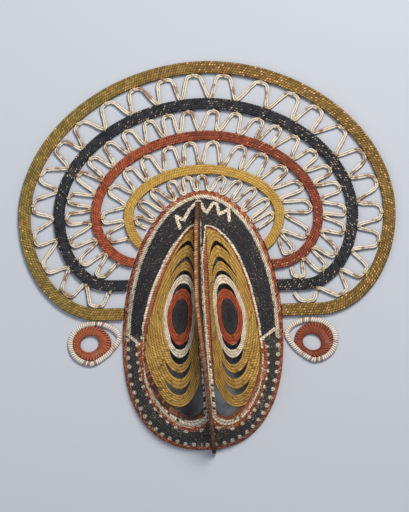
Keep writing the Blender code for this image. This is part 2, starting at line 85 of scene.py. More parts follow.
# %% A value in a material
class Field:
    """An output in a material's nodes, on which sums can be written."""

    def __init__(self, finish, socket):
        self.finish = finish
        self.socket = socket

    def sum(self, operation, *others):
        values = dict(enumerate((self, *others)))
        return self.finish.node("ShaderNodeMath", {"operation": operation}, values)

    def __add__(self, other):
        return self.sum("ADD", other)

    def __sub__(self, other):
        return self.sum("SUBTRACT", other)

    def __rsub__(self, other):
        return self.finish.node("ShaderNodeMath", {"operation": "SUBTRACT"}, {0: other, 1: self})

    def __mul__(self, other):
        return self.sum("MULTIPLY", other)

    def __mod__(self, other):
        return self.sum("FLOORED_MODULO", other)

    __radd__ = __add__
    __rmul__ = __mul__

    def floor(self):
        return self.sum("FLOOR")

    def rise(self, start, end):
        """0 below start and 1 above end, with a soft step between; the other way round too."""
        settings = {"interpolation_type": "SMOOTHSTEP"}
        if start < end:
            values = {0: self, 1: start, 2: end, 3: 0.0, 4: 1.0}
        else:
            values = {0: self, 1: end, 2: start, 3: 1.0, 4: 0.0}
        return self.finish.node("ShaderNodeMapRange", settings, values)


# %% A finish: one material and its nodes
class Finish:
    """A material whose nodes are made by one method."""

    def __init__(self, name, roughness=0.85):
        self.material = bpy.data.materials.new(name)
        self.material.use_nodes = True
        self.tree = self.material.node_tree
        self.shader = self.tree.nodes["Principled BSDF"]
        self.shader.inputs["Roughness"].default_value = roughness
        self.shader.inputs["Specular IOR Level"].default_value = 0.25

    def node(self, kind, settings=None, values=None, output=0):
        made = self.tree.nodes.new(kind)
        for name, value in (settings or {}).items():
            setattr(made, name, value)
        for key, value in (values or {}).items():
            if isinstance(value, Field):
                self.tree.links.new(value.socket, made.inputs[key])
            elif isinstance(value, (tuple, list)) and len(value) == 3 and key in (6, 7):
                made.inputs[key].default_value = (*value, 1.0)
            else:
                made.inputs[key].default_value = value
        return Field(self, made.outputs[output])

    def mix(self, share, first, second, blend="MIX"):
        settings = {"data_type": "RGBA", "blend_type": blend}
        return self.node("ShaderNodeMix", settings, {0: share, 6: first, 7: second}, 2)

    def parts(self, vector):
        return [self.node("ShaderNodeSeparateXYZ", None, {0: vector}, i) for i in range(3)]

    def place(self):
        return self.node("ShaderNodeTexCoord", None, None, 3)

    def attribute(self, name):
        """The three values that every vertex carries under a name."""
        return self.parts(self.node("ShaderNodeAttribute", {"attribute_name": name}, None, 1))

    def cloud(self, scale, detail=2.0, vector=None):
        values = {"Vector": vector or self.place(), "Scale": scale, "Detail": detail}
        return self.node("ShaderNodeTexNoise", None, values)

    def darken(self, colour, shade):
        """A colour made lighter or darker by a value."""
        grey = self.node("ShaderNodeCombineXYZ", None, {0: shade, 1: shade, 2: shade})
        return self.mix(1.0, colour, grey, "MULTIPLY")

    def chance(self, across, along, seed=0.0):
        """A value from 0 to 1 that is the same all over a stitch."""
        cell = self.node("ShaderNodeCombineXYZ", None, {0: across, 1: along, 2: seed})
        settings = {"noise_dimensions": "3D"}
        return self.node("ShaderNodeTexWhiteNoise", settings, {"Vector": cell})

    def wear(self, colour, height, depth=0.0006):
        """Gives the shader its colour and, through a bump, its fine relief."""
        self.tree.links.new(colour.socket, self.shader.inputs["Base Color"])
        values = {"Strength": 0.8, "Distance": depth, "Height": height}
        bump = self.node("ShaderNodeBump", None, values)
        self.tree.links.new(bump.socket, self.shader.inputs["Normal"])
        return self.material


# %% [markdown]
# ## Coils and stitches
#
# All but the lacing is coiled work, so one pattern serves it all. Each piece carries a map
# called weave: across it runs the number of the stitch, and up it the number of the row. The
# whole parts of these two numbers name a stitch, and what is left over is the place in it.

# %% The stitch pattern
def stitches(finish, slant=0.5):
    """Place in the stitch, its two chances, and how high its row and its own back stand."""
    uv = finish.node("ShaderNodeUVMap", {"uv_map": "weave"})
    along, across, _ = finish.parts(uv)
    row = across.floor()
    in_row = across - row
    shifted = along + row * 0.5 + in_row * slant
    stitch = shifted.floor()
    in_stitch = shifted - stitch
    return {
        "row": row,
        "tooth": in_stitch - 0.5,
        "chance": finish.chance(stitch, row),
        "second": finish.chance(stitch, row, 5.0),
        "row_back": 4.0 * in_row * (1 - in_row),
        "stitch_back": 4.0 * in_stitch * (1 - in_stitch),
    }


# %% Paint on coil work
def specks_and_glints(finish, weave, paint, glint, share, spread=0.7, scale=16.0):
    """Stitches that show another colour on their tops, more of them in some places than in others:
    specks of paint and worn cane, and painted highlights where a finish raises the share to the right.
    """
    patch = finish.cloud(scale, 2.0)
    level = weave["second"] + (patch - 0.5) * spread + share
    speck = finish.cloud(420.0, 3.0)
    bead = (weave["row_back"] * weave["stitch_back"] * 0.6 + speck).rise(0.80, 1.05)
    return finish.mix(level.rise(0.94, 1.06) * bead, paint, glint)


def sewn(finish, weave, paint, gap_shade, lines=(0.5, 0.5, 0.95), light=0.5, cloudy=0.4):
    """Uneven paint, with painted shade in the gaps between rows and stitches and a painted highlight on
    each stitch top.
    """
    patch = finish.cloud(30.0, 3.0)
    grain = finish.cloud(900.0, 2.0)
    back = weave["row_back"] * weave["stitch_back"]
    # Painted highlight: the back term lightens the top of each stitch and leaves its edges darker.
    shade = weave["chance"] * light + (patch - 0.5) * cloudy + back * 0.35 + (0.82 - light / 2)
    # Painted shade: the gaps between rows and stitches and their corners are drawn towards the gap
    # colour, each as strong as lines gives.
    row_gap_shade = weave["row_back"].rise(0.6, 0.05) * lines[0]
    stitch_gap_shade = weave["stitch_back"].rise(0.6, 0.05) * lines[1]
    corner = (weave["row_back"] + weave["stitch_back"]).rise(0.95, 0.30) * lines[2]
    dark = row_gap_shade.sum("MAXIMUM", stitch_gap_shade).sum("MAXIMUM", corner)
    dark = dark * (grain.rise(0.25, 0.55) * 0.6 + 0.4)
    colour = finish.mix(dark, finish.darken(paint, shade), gap_shade)
    height = weave["row_back"] * 0.3 + weave["stitch_back"] * 0.6 + grain * 0.2
    return finish.wear(colour, height)


BLACK = (0.026, 0.027, 0.032)
GOLD = (0.500, 0.300, 0.066)
OCHRE = (0.500, 0.295, 0.068)
BRIGHT_RED = (0.380, 0.085, 0.032)
CREAM = (0.780, 0.660, 0.490)
TAN = (0.450, 0.330, 0.210)
# DARK is the painted shade in the gaps between coils, and also the colour of dark dots in the paint.
DARK = (0.022, 0.014, 0.009)
BROWN = (0.130, 0.055, 0.024)

# %% [markdown]
# ## Woven surfaces
#
# A piece of coil work is a flat grid of small faces that is rolled and bent into place. The
# grid comes from one operator. Each of its points is then moved to where a function of the
# piece says it lies, and its seam and its ends are welded afterwards.

# %% A grid bent into place
def woven(columns, rows, place, weave):
    """A grid whose points are put in place by column and row number."""
    bm = bmesh.new()
    bmesh.ops.create_grid(bm, x_segments=columns, y_segments=rows, size=0.5)
    pattern = bm.loops.layers.uv.new("weave")

    def number(point):
        return round((point.x + 0.5) * columns), round((point.y + 0.5) * rows)

    for face in bm.faces:
        for loop in face.loops:
            loop[pattern].uv = weave(*number(loop.vert.co))
    for vert in bm.verts:
        vert.co = place(*number(vert.co))
    return bm


def weld(bm, distance=1e-6):
    bmesh.ops.remove_doubles(bm, verts=bm.verts, dist=distance)
    bmesh.ops.dissolve_degenerate(bm, edges=bm.edges, dist=1e-7)


def cap_ends(bm):
    """Closes the open ends of a piece."""
    rim = [edge for edge in bm.edges if edge.is_boundary]
    bmesh.ops.holes_fill(bm, edges=rim, sides=0)


def trim(bm, cut, settle):
    """Takes away what a test calls cut, and settles the new edge on a line."""
    gone = [face for face in bm.faces if all(cut(vert.co) for vert in face.verts)]
    bmesh.ops.delete(bm, geom=gone, context="FACES")
    for vert in bm.verts:
        if cut(vert.co):
            vert.co = settle(vert.co)


def show(name, bm, node, finishes, angle):
    """Turns a bmesh into a piece that rides on the mask and replaces its solid."""
    bmesh.ops.recalc_face_normals(bm, faces=bm.faces)
    bmesh.ops.translate(bm, verts=bm.verts, vec=CENTRE)
    mesh = bpy.data.meshes.new(name)
    bm.to_mesh(mesh)
    bm.free()
    mesh.shade_smooth()
    mesh.set_sharp_from_angle(angle=math.radians(angle))
    for finish in finishes:
        mesh.materials.append(finish)
    piece = bpy.data.objects.new(name, mesh)
    bpy.context.scene.collection.objects.link(piece)
    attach(piece, "root")
    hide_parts(node)
    mesh.calc_loop_triangles()
    print(name, len(mesh.loop_triangles), "triangles")


def arc(part):
    """Round back of a row or stitch: 0 at its two edges and 1 in the middle."""
    part = part % 1.0
    return math.sqrt(max(0.0, 1 - (2 * part - 1) ** 2))


# %% [markdown]
# ## The face
#
# The face is an egg in plan and a dome in height. Its border runs round two teardrop openings
# with a narrow strip between them. These formulas are the ones that the solids follow.

# %% Shape of the face
FACE_HALF_WIDTH = 0.0970
FACE_RISE = 0.180
FACE_HEIGHT = 0.058
FACE_WALL = 0.004
CHIN_FULLNESS = 2.38
DOME_ROUNDNESS = 0.62


def egg(angle, grow=0.0):
    across = math.cos(angle)
    up = math.sin(angle)
    power = 2.0 if up >= 0 else CHIN_FULLNESS
    height = (FACE_RISE if up >= 0 else FACE_DROP) + grow
    x = math.copysign(abs(across) ** (2 / power), across) * (FACE_HALF_WIDTH + grow)
    y = math.copysign(abs(up) ** (2 / power), up) * height
    return Vector((x, y))


def egg_share(x, y, grow=0.0):
    power = 2.0 if y >= 0 else CHIN_FULLNESS
    height = (FACE_RISE if y >= 0 else FACE_DROP) + grow
    across = abs(x) / (FACE_HALF_WIDTH + grow)
    return (across**power + (abs(y) / height) ** power) ** (1 / power)


def dome_height(share, height=FACE_HEIGHT):
    return height * max(0.0, 1 - share * share) ** DOME_ROUNDNESS


STRIP_OFFSET = 0.0018
STRIP_SLANT = -0.063
STRIP_BEND = 0.152


def strip_x(y):
    """Middle line of the strip between the openings."""
    return STRIP_OFFSET + STRIP_SLANT * y + STRIP_BEND * y * y


STRIP_HALF_WIDTH = 0.0075
OPENING_LEVEL = -0.014
OPENING_RISE = 0.150
OPENING_DROP = 0.081
OPENING_FULLNESS = 1.70
OPENING_LEFT = (0.0655, 1.34, 0.016)
OPENING_RIGHT = (0.0590, 1.88, 0.012)


def opening_outline(side, inset=0.0):
    """Teardrop opening of one cheek, as a closed line of points."""
    width, taper, corner = OPENING_LEFT if side < 0 else OPENING_RIGHT
    level, rise, drop, fullness = OPENING_LEVEL, OPENING_RISE, OPENING_DROP, OPENING_FULLNESS
    points = []
    for i in range(49):
        turn = math.pi / 2 * i / 48
        y = level + rise * math.cos(turn) ** (2 / taper)
        points.append((y, width * math.sin(turn) ** (2 / taper)))
    for i in range(1, 49):
        turn = math.pi / 2 * i / 48
        y = level - drop * math.sin(turn) ** (2 / fullness)
        points.append((y, corner + (width - corner) * math.cos(turn) ** (2 / fullness)))
    for i in range(1, 13):
        turn = math.pi / 2 * i / 12
        points.append((level - drop + corner * (1 - math.cos(turn)), corner * (1 - math.sin(turn))))
    low = level - drop + corner
    points += [(low + (level + rise - low) * i / 60, 0.0) for i in range(1, 60)]
    return [
        Vector((strip_x(y) + side * (STRIP_HALF_WIDTH + max(inset, x - inset)), y))
        for y, x in points
    ]


def strip_end(level):
    """Level at which the strip's middle line meets the rim."""
    inside, outside = 0.8 * level, level
    for _ in range(40):
        middle = (inside + outside) / 2
        if egg_share(strip_x(middle), middle) < 1:
            inside = middle
        else:
            outside = middle
    return inside


def egg_angle(x, y):
    """The angle at which the egg passes through a point of the rim."""
    power = 2.0 if y >= 0 else CHIN_FULLNESS
    height = FACE_RISE if y >= 0 else FACE_DROP
    across = math.copysign((abs(x) / FACE_HALF_WIDTH) ** (power / 2), x)
    up = math.copysign((abs(y) / height) ** (power / 2), y)
    return math.atan2(up, across)


# %% Lines and distances
def path_length(path):
    return sum((b - a).length for a, b in zip(path, path[1:]))


def resampled(path, count):
    """The same line with its points spread evenly."""
    lengths = [0.0]
    for a, b in zip(path, path[1:]):
        lengths.append(lengths[-1] + (b - a).length)
    made = []
    at = 0
    for i in range(count + 1):
        goal = lengths[-1] * i / count
        while at < len(path) - 2 and lengths[at + 1] < goal:
            at += 1
        step = lengths[at + 1] - lengths[at]
        made.append(path[at].lerp(path[at + 1], (goal - lengths[at]) / step if step else 0.0))
    return made


class Ruler:
    """Measures how far a point lies from a line, and how far along it the nearest place is."""

    def __init__(self, path, step=0.0004):
        self.points = resampled(path, max(8, int(path_length(path) / step)))
        self.step = path_length(path) / (len(self.points) - 1)
        self.tree = kdtree.KDTree(len(self.points))
        for i, point in enumerate(self.points):
            self.tree.insert((point.x, point.y, 0.0), i)
        self.tree.balance()

    def measure(self, x, y):
        _, index, away = self.tree.find((x, y, 0.0))
        return away, index * self.step

    def nearest(self, x, y):
        place, _, _ = self.tree.find((x, y, 0.0))
        return Vector((place.x, place.y))


def inside_line(outline, x, y):
    """Whether a point lies inside a closed line."""
    inside = False
    for a, b in zip(outline, outline[1:] + outline[:1]):
        if (a.y > y) != (b.y > y) and x < a.x + (y - a.y) / (b.y - a.y) * (b.x - a.x):
            inside = not inside
    return inside


def ray_reach(outline, start, towards):
    """How far a ray runs from inside a closed line until it leaves it."""
    best = 0.0
    for a, b in zip(outline, outline[1:] + outline[:1]):
        edge = b - a
        cross = towards.x * edge.y - towards.y * edge.x
        if abs(cross) < 1e-12:
            continue
        off = a - start
        reach = (off.x * edge.y - off.y * edge.x) / cross
        share = (off.x * towards.y - off.y * towards.x) / cross
        if reach > 0 and -1e-9 <= share <= 1 + 1e-9:
            best = max(best, reach)
    return best


rim_line = [egg(-math.pi / 2 + math.tau * i / 720) for i in range(721)]
rim_ruler = Ruler(rim_line)
openings = {side: opening_outline(side) for side in (-1, 1)}
opening_rulers = {side: Ruler(line + line[:1]) for side, line in openings.items()}
print("rim", round(path_length(rim_line), 3), "m round")

# %% [markdown]
# ## Painted border
#
# The border's rows run round with the rim, and two rows follow each opening. Above, it is
# painted red, white and black from the rim inwards, then white and a brown lip at the opening.
# Below the eyes the white at the rim ends, a red stripe is added at the opening, and a row of
# white dots is set on each. On the lower left the lip is widened and darkened as painted shade.
# The paint is laid on in the material by how far a point lies from the rim and from the
# opening.
#
# The grid of each half is stretched between the opening and the outside of the half, and the
# two halves are welded along the middle of the strip.

# %% The border's finish
# Widths in millimetres. A row of dots has a spacing, a distance and a size.
SOFT_EDGE = 0.4
RIM_RED = 5.3
RIM_WHITE = (5.2, 9.6)
RIM_DOTS = (11.0, 6.6, 2.5)
RED_DOTS = (9.0, 0.6, 1.7)
CHEEK_LEVEL = CENTRE.y + 0.0055


def border_finish():
    finish = Finish("border_paint", 0.82)
    weave = stitches(finish, 0.6)
    from_rim, from_opening, from_mark = finish.attribute("paint")
    lip_end, white_end, red_end = finish.attribute("stripes")
    arcs = finish.node("ShaderNodeUVMap", {"uv_map": "arcs"})
    along_rim, along_opening, _ = finish.parts(arcs)
    across, up, _ = finish.parts(finish.place())
    uneven = (weave["chance"] - 0.5) * 1.0 + (finish.cloud(260.0) - 0.5) * 1.4
    teeth = uneven + weave["tooth"] * 1.7
    rim = from_rim + teeth
    opening = from_opening + uneven
    lower = (up + uneven * 0.001).rise(CHEEK_LEVEL + 0.0015, CHEEK_LEVEL - 0.0015)
    upper = 1 - lower
    left = across.rise(CENTRE.x + 0.004, CENTRE.x - 0.004)
    patch = finish.cloud(30.0, 3.0)
    bead = (weave["row_back"] * weave["stitch_back"]).rise(0.1, 0.4)

    def ring(value, start, end):
        began = value.rise(start - SOFT_EDGE, start + SOFT_EDGE)
        return began * value.rise(end + SOFT_EDGE, end - SOFT_EDGE)

    def dots(along, spacing, away, level, size):
        across_dot = (along % spacing) - spacing / 2
        off = (across_dot * across_dot + (away - level) * (away - level)).sum("SQRT")
        return (off + uneven * 1.1).rise(size + 0.5, size - 0.5)

    black = finish.mix(lower, BLACK, (0.052, 0.049, 0.047))
    flecked = (finish.cloud(480.0, 3.0) + (patch - 0.5) * 0.3).rise(0.58, 0.70)
    black = finish.mix(flecked * (lower * 0.3 + 0.45), black, TAN)
    red = finish.mix(weave["chance"], (0.24, 0.042, 0.016), (0.50, 0.13, 0.040))
    pale = (finish.cloud(380.0, 3.0) + weave["second"] * 0.25).rise(0.70, 0.78)
    red = finish.mix(pale * 0.7, red, (0.70, 0.52, 0.40))
    cream = finish.mix(weave["chance"].rise(0.78, 0.84) * (lower * 0.4 + 0.6) * bead, CREAM, DARK)
    cream = finish.mix(patch.rise(0.5, 0.72) * 0.45, cream, (0.60, 0.38, 0.28))
    # Painted shade: on the lower left the lip is a dark speckled brown, for the border's inner rows that
    # lie in shade beside the panel.
    shaded_lip = finish.mix(weave["second"].rise(0.5, 0.6), (0.080, 0.032, 0.018), (0.28, 0.11, 0.05))
    lip = finish.mix(lower * left, (0.34, 0.10, 0.045), shaded_lip)
    colour = finish.mix(rim.rise(RIM_RED + 0.3, RIM_RED - 0.3), black, red)
    colour = finish.mix(ring(rim, *RIM_WHITE) * upper, colour, cream)
    for end, paint in ((red_end, red), (white_end, cream), (lip_end, lip)):
        colour = finish.mix((opening - end).rise(SOFT_EDGE, -SOFT_EDGE), colour, paint)
    spacing, level, size = RIM_DOTS
    colour = finish.mix(dots(along_rim, spacing, from_rim, level, size) * lower, colour, CREAM)
    spacing, past, size = RED_DOTS
    beads = dots(along_opening, spacing, from_opening, red_end + past, size)
    colour = finish.mix(beads * lower, colour, CREAM)
    colour = finish.mix((from_mark + uneven * 0.9).rise(2.2, 1.5), colour, CREAM)
    return sewn(finish, weave, colour, DARK, (0.55, 0.60, 0.9), 0.5, 0.5)


def bare_finish():
    """The unpainted back: brown cane with dark gaps."""
    finish = Finish("bare_cane", 0.8)
    weave = stitches(finish)
    paint = specks_and_glints(finish, weave, (0.300, 0.170, 0.075), TAN, 0.12)
    return sewn(finish, weave, paint, DARK, (0.6, 0.5, 0.9))


border_paint = border_finish()
bare_cane = bare_finish()
print("border_paint has", len(border_paint.node_tree.nodes), "nodes")

# %% The border's grid
ROW = 4.0
STITCH = 3.1
OPENING_ROWS = 2
BORDER_COLUMNS = 640
BORDER_ROWS = 36
STRIP_SHARE = 0.42
HUB_ASIDE = 0.030

# Level, and the widths of the lip, the white and the red at an opening, in millimetres.
# On the lower left the lip stands for painted shade beside the panel, which is why it is widest there.
OUTER_STRIPES = {
    -1: ((0.130, 1.0, 2.0, 0.0), (0.110, 2.0, 3.6, 0.0), (0.050, 4.2, 3.4, 0.0),
         (0.015, 4.0, 2.4, 0.0), (0.000, 2.2, 0.8, 0.0), (-0.005, 1.0, 0.0, 7.5),
         (-0.030, 2.7, 0.8, 5.5), (-0.045, 6.0, 2.2, 4.2), (-0.075, 6.6, 4.0, 4.0),
         (-0.088, 4.6, 6.5, 3.8), (-0.094, 1.4, 8.5, 5.0)),
    1: ((0.130, 0.4, 1.6, 0.0), (0.115, 0.5, 2.7, 0.0), (0.090, 1.0, 2.2, 0.0),
        (0.000, 0.8, 2.0, 0.0), (-0.005, 1.2, 1.4, 5.0), (-0.040, 2.6, 2.2, 5.0),
        (-0.075, 3.0, 3.0, 5.0), (-0.088, 2.0, 4.6, 5.0), (-0.094, 0.6, 6.0, 5.0)),
}
# On the left of the strip the white is kept to 0.4 mm from level 0.100 down to -0.035, with the brown
# lip in its place: painted shade where the leaning fin shades the strip.
NOSE_STRIPES = {
    -1: ((0.128, 1.0, 2.0, 0.0), (0.100, 2.0, 0.4, 0.0), (-0.035, 2.0, 0.4, 0.0),
         (-0.055, 1.0, 3.6, 0.0), (-0.100, 0.6, 4.6, 0.0)),
    1: ((0.128, 0.4, 1.6, 0.0), (0.100, 4.4, 2.0, 0.0), (0.050, 4.0, 9.0, 0.0), (-0.030, 1.7, 9.0, 0.0),
        (-0.060, 0.2, 9.0, 0.0)),
}

MARKS = (
    ((-6.0, 166.8), (-16.8, 156.0), (-22.8, 144.0), (-32.4, 148.8), (-27.6, 134.4)),
    ((-3.6, 166.8), (1.2, 156.0), (4.8, 153.6), (12.0, 164.4), (16.8, 163.2), (19.2, 151.2),
     (31.2, 157.2), (31.2, 144.0)),
    ((-91.2, 7.2), (-76.8, -4.8)),
    ((70.8, 2.4), (85.2, 13.2)),
)


def mark_distance(x, y):
    """How far a point lies from the painted zigzags and bars, in millimetres."""
    best = 99.0
    point = Vector((x * 1000, y * 1000))
    for mark in MARKS:
        for start, end in zip(mark, mark[1:]):
            start = Vector(start)
            step = Vector(end) - start
            part = min(1.0, max(0.0, (point - start).dot(step) / step.length_squared))
            best = min(best, (start + step * part - point).length)
    return best


def from_table(table, level):
    """Values of a table at a level, in even steps between its lines."""
    if level >= table[0][0]:
        return table[0][1:]
    for above, below in zip(table, table[1:]):
        if level >= below[0]:
            share = (above[0] - level) / (above[0] - below[0])
            return tuple(a + (b - a) * share for a, b in zip(above[1:], below[1:]))
    return table[-1][1:]


def stripe_ends(side, x, y):
    """Where the lip, the white and the red at an opening end, counted from its edge."""
    at = opening_rulers[side].nearest(x, y)
    on_strip = abs(x - strip_x(y)) < STRIP_HALF_WIDTH and -0.088 < y < 0.128
    lip, white, red = from_table((NOSE_STRIPES if on_strip else OUTER_STRIPES)[side], at.y)
    return Vector((lip, lip + white, lip + white + red))


def dome_normal(x, y):
    """The way out of the dome."""
    step = 0.0004
    here = dome_height(egg_share(x, y))
    slope_x = (dome_height(egg_share(x + step, y)) - here) / step
    slope_y = (dome_height(egg_share(x, y + step)) - here) / step
    return Vector((-slope_x, -slope_y, 1.0)).normalized()


def border_weave(side, x, y):
    """Stitch and row number of a point, and its distances in millimetres."""
    from_rim, along_rim = rim_ruler.measure(x, y)
    from_opening, along_opening = opening_rulers[side].measure(x, y)
    height = dome_height(egg_share(x, y))
    if from_opening < OPENING_ROWS * ROW / 1000:
        weave = (along_opening * 1000 / STITCH, -from_opening * 1000 / ROW)
    else:
        surface = math.hypot(from_rim, height) * 1.04
        weave = (along_rim * 1000 / STITCH, OPENING_ROWS + surface * 1000 / ROW)
    return weave, from_rim * 1000, from_opening * 1000, along_rim * 1000, along_opening * 1000


def half_border(side, columns, rows):
    """One half of the border's front, from its opening out to the rim and the strip."""
    hub = Vector((strip_x(0.0) + side * HUB_ASIDE, 0.0))
    bottom, top = strip_end(-FACE_DROP), strip_end(FACE_RISE)
    strip = [Vector((strip_x(y), y)) for y in
             (bottom + (top - bottom) * i / 400 for i in range(401))]
    start, stop = egg_angle(*strip[-1]), egg_angle(*strip[0])
    if side < 0:
        stop += math.tau
    round_side = [egg(start + (stop - start) * i / 400) for i in range(401)]
    strip_columns = int(columns * STRIP_SHARE)
    outside = resampled(strip, strip_columns) + resampled(round_side, columns - strip_columns)[1:]
    opening = openings[side]
    edge = []
    for point in outside:
        towards = (point - hub).normalized()
        edge.append(hub + towards * ray_reach(opening, hub, towards))
    known = {}

    def flat(i, j):
        share = j / rows
        return edge[i].lerp(outside[i], share)

    def facts(i, j):
        if (i, j) not in known:
            point = flat(i, j)
            known[(i, j)] = border_weave(side, point.x, point.y)
        return known[(i, j)]

    def place(i, j):
        point = flat(i, j)
        share = min(1.0, egg_share(point.x, point.y))
        (along, row), _, _, _, _ = facts(i, j)
        across = row % 1.0
        stitch = arc(along + 0.5 * math.floor(row) + 0.6 * across)
        sink = 0.0005 * (1 - arc(row)) + 0.0004 * (1 - stitch)
        top = Vector((point.x, point.y, dome_height(share)))
        if j == rows:
            return top
        return top - dome_normal(point.x, point.y) * sink

    bm = woven(columns, rows, place, lambda i, j: (0.0, 0.0))
    return bm, facts


# %% Maps on a half
def mapped_half(side, columns, rows):
    """A half of the border with the maps that its finish reads."""
    half, facts = half_border(side, columns, rows)
    weave = half.loops.layers.uv["weave"]
    arcs = half.loops.layers.uv.new("arcs")
    paint = half.verts.layers.float_vector.new("paint")
    stripes = half.verts.layers.float_vector.new("stripes")
    half.verts.ensure_lookup_table()
    half.verts.index_update()
    known = [facts(number % (columns + 1), number // (columns + 1)) for number in range(len(half.verts))]
    for vert, (_, from_rim, from_opening, _, _) in zip(half.verts, known):
        x, y, _ = vert.co
        vert[paint] = Vector((from_rim, from_opening, mark_distance(x, y)))
        vert[stripes] = stripe_ends(side, x, y)
    for face in half.faces:
        for loop in face.loops:
            stitch, _, _, along_rim, along_opening = known[loop.vert.index]
            loop[weave].uv = stitch
            loop[arcs].uv = (along_rim, along_opening)
    return half


# %% The border
def add_to(whole, part, material_index=0):
    """Adds one bmesh to another."""
    for face in part.faces:
        face.material_index = material_index
    mesh = bpy.data.meshes.new("part")
    part.to_mesh(mesh)
    part.free()
    whole.from_mesh(mesh)
    bpy.data.meshes.remove(mesh)


def back_of_face(whole):
    """Gives the face its wall, with its inside face set back from the front."""
    made = bmesh.ops.extrude_face_region(whole, geom=whole.faces[:], use_keep_orig=True)
    shrink = 1 - FACE_WALL / FACE_HALF_WIDTH
    for item in made["geom"]:
        if isinstance(item, bmesh.types.BMVert):
            share = min(1.0, egg_share(item.co.x, item.co.y))
            level = dome_height(share, FACE_HEIGHT - FACE_WALL)
            item.co = Vector((item.co.x * shrink, item.co.y * shrink, level))
        elif isinstance(item, bmesh.types.BMFace):
            item.material_index = 1


def face_up(bm):
    """Turns all faces the same way, and that way up."""
    bmesh.ops.recalc_face_normals(bm, faces=bm.faces)
    if sum(face.normal.z for face in bm.faces) < 0:
        bmesh.ops.reverse_faces(bm, faces=bm.faces)


def face_border():
    """Both halves, thickened into one shell."""
    whole = bmesh.new()
    for side in (-1, 1):
        add_to(whole, mapped_half(side, BORDER_COLUMNS, BORDER_ROWS))
    weld(whole, 2e-6)
    face_up(whole)
    back_of_face(whole)
    show("border", whole, "face_border", (border_paint, bare_cane), 60.0)


face_border()

# %% [markdown]
# ## Eye panels
#
# Each panel is one long coil that starts at the pupil and ends at the opening's edge. Above
# and below the eye the rows are held apart, which leaves crescent slits. The panel is a round
# grid whose rings are put at the pupil, iris, white and folds. The faces of the slits are
# left out, and where a slit has no width its two sides are welded.

# %% The panels' finish
def panel_finish():
    finish = Finish("panel_paint", 0.84)
    weave = stitches(finish, 1.4)
    ring, nose_side, _ = finish.attribute("paint")
    patch = finish.cloud(34.0, 3.0)
    ring = ring + (weave["chance"] - 0.5) * 0.12 + (finish.cloud(300.0) - 0.5) * 0.14
    tone = finish.mix(patch.rise(0.35, 0.65), OCHRE, (0.400, 0.225, 0.050))
    tone = specks_and_glints(finish, weave, tone, (0.600, 0.360, 0.120), 0.16)
    tone = finish.mix(weave["second"].rise(0.10, 0.04) * 0.8, tone, (0.16, 0.075, 0.025))
    tone = finish.mix((nose_side + weave["chance"] * 0.8).rise(2.2, 1.8), tone, (0.22, 0.07, 0.03))
    white = finish.mix(weave["second"].rise(0.80, 0.9) * 0.6, CREAM, (0.45, 0.30, 0.20))
    red = finish.mix(weave["chance"], (0.30, 0.050, 0.020), BRIGHT_RED)
    colour = finish.mix(ring.rise(2.98, 3.04), white, tone)
    colour = finish.mix(ring.rise(2.02, 1.98), colour, red)
    colour = finish.mix(ring.rise(1.03, 0.97), colour, BLACK)
    return sewn(finish, weave, colour, (0.065, 0.032, 0.010), (0.35, 0.45, 0.90), 0.4, 0.4)


panel_paint = panel_finish()

# %% The panels' rings
# Name, and reach up, down, out to the cheek and in to the nose.
EYE_RINGS = (
    ("pupil", 0.0212, 0.0218, 0.0096, 0.0096),
    ("iris", 0.0330, 0.0345, 0.0156, 0.0146),
    ("white", 0.0500, 0.0500, 0.0200, 0.0180),
    ("fold_inner", 0.0660, 0.0680, 0.0285, 0.0220),
    ("fold_middle", 0.0850, 0.0875, 0.0370, 0.0260),
    ("fold_outer", 0.1150, 0.1090, 0.0500, 0.0345),
)
# Half of the spread in degrees, and width above and below the eye.
SLITS = {
    "iris": (50.0, 0.0062, 0.0054),
    "white": (40.0, 0.0044, 0.0075),
    "fold_inner": (40.0, 0.0050, 0.0066),
    "fold_middle": (30.0, 0.0050, 0.0070),
}
COILS = (3, 3, 3, 3, 3, 5)
STITCHES_ROUND = (24, 48, 72, 96, 120, 144)
STEPS_A_COIL = 5
PANEL_COLUMNS = 288
PANEL_RECESS = 0.0015
PANEL_THICKNESS = 0.0035
GAP = 0.0003


EYE_LEVEL = 0.029
EYE_SHIFT = 0.0022
EYE_FROM_STRIP = 0.0222


def eye_centre(side):
    aside = EYE_SHIFT + side * (STRIP_HALF_WIDTH + EYE_FROM_STRIP)
    return Vector((strip_x(EYE_LEVEL) + aside, EYE_LEVEL))


def ring_place(side, ring, angle, grow=0.0):
    """Point of an eye ring. The angle runs from the cheek side up and over to the nose."""
    _, up, down, out, inward = ring
    across = math.cos(angle)
    rise = math.sin(angle)
    power = 1.6 if rise > 0 and up > 0.06 else 2.0
    width = (out if across > 0 else inward) + grow
    height = (up if rise > 0 else down) + grow
    x = math.copysign(abs(across) ** (2 / power), across) * width
    y = math.copysign(abs(rise) ** (2 / power), rise) * height
    lean = (0.150 if rise > 0 else 0.038) + side * 0.036
    return eye_centre(side) + Vector((side * (x - lean * y), y))


def slit_swell(name, angle):
    spread, above, below = SLITS[name]
    width = above if angle > 0 else below
    off = abs(abs(angle) - math.pi / 2) / math.radians(spread)
    return width * math.cos(math.pi / 2 * off) if off < 0.999 else 0.0


def panel_stations():
    """Where each ring of the grid lies: between which lines, how far, and its row number."""
    stations = [(-1, 0.0, 0.0, 0.0)]
    slit_rows = []
    row = 0
    line = -1
    for number, (ring, coils) in enumerate(zip(EYE_RINGS, COILS)):
        steps = coils * STEPS_A_COIL
        for step in range(1, steps + 1):
            share = step / steps
            stations.append((line, share, row + coils * share, number + share))
        row += coils
        line += 1
        if ring[0] in SLITS:
            slit_rows.append(len(stations) - 1)
            line += 1
            stations.append((line - 1, 1.0, row, number + 1.001))
    return stations, slit_rows


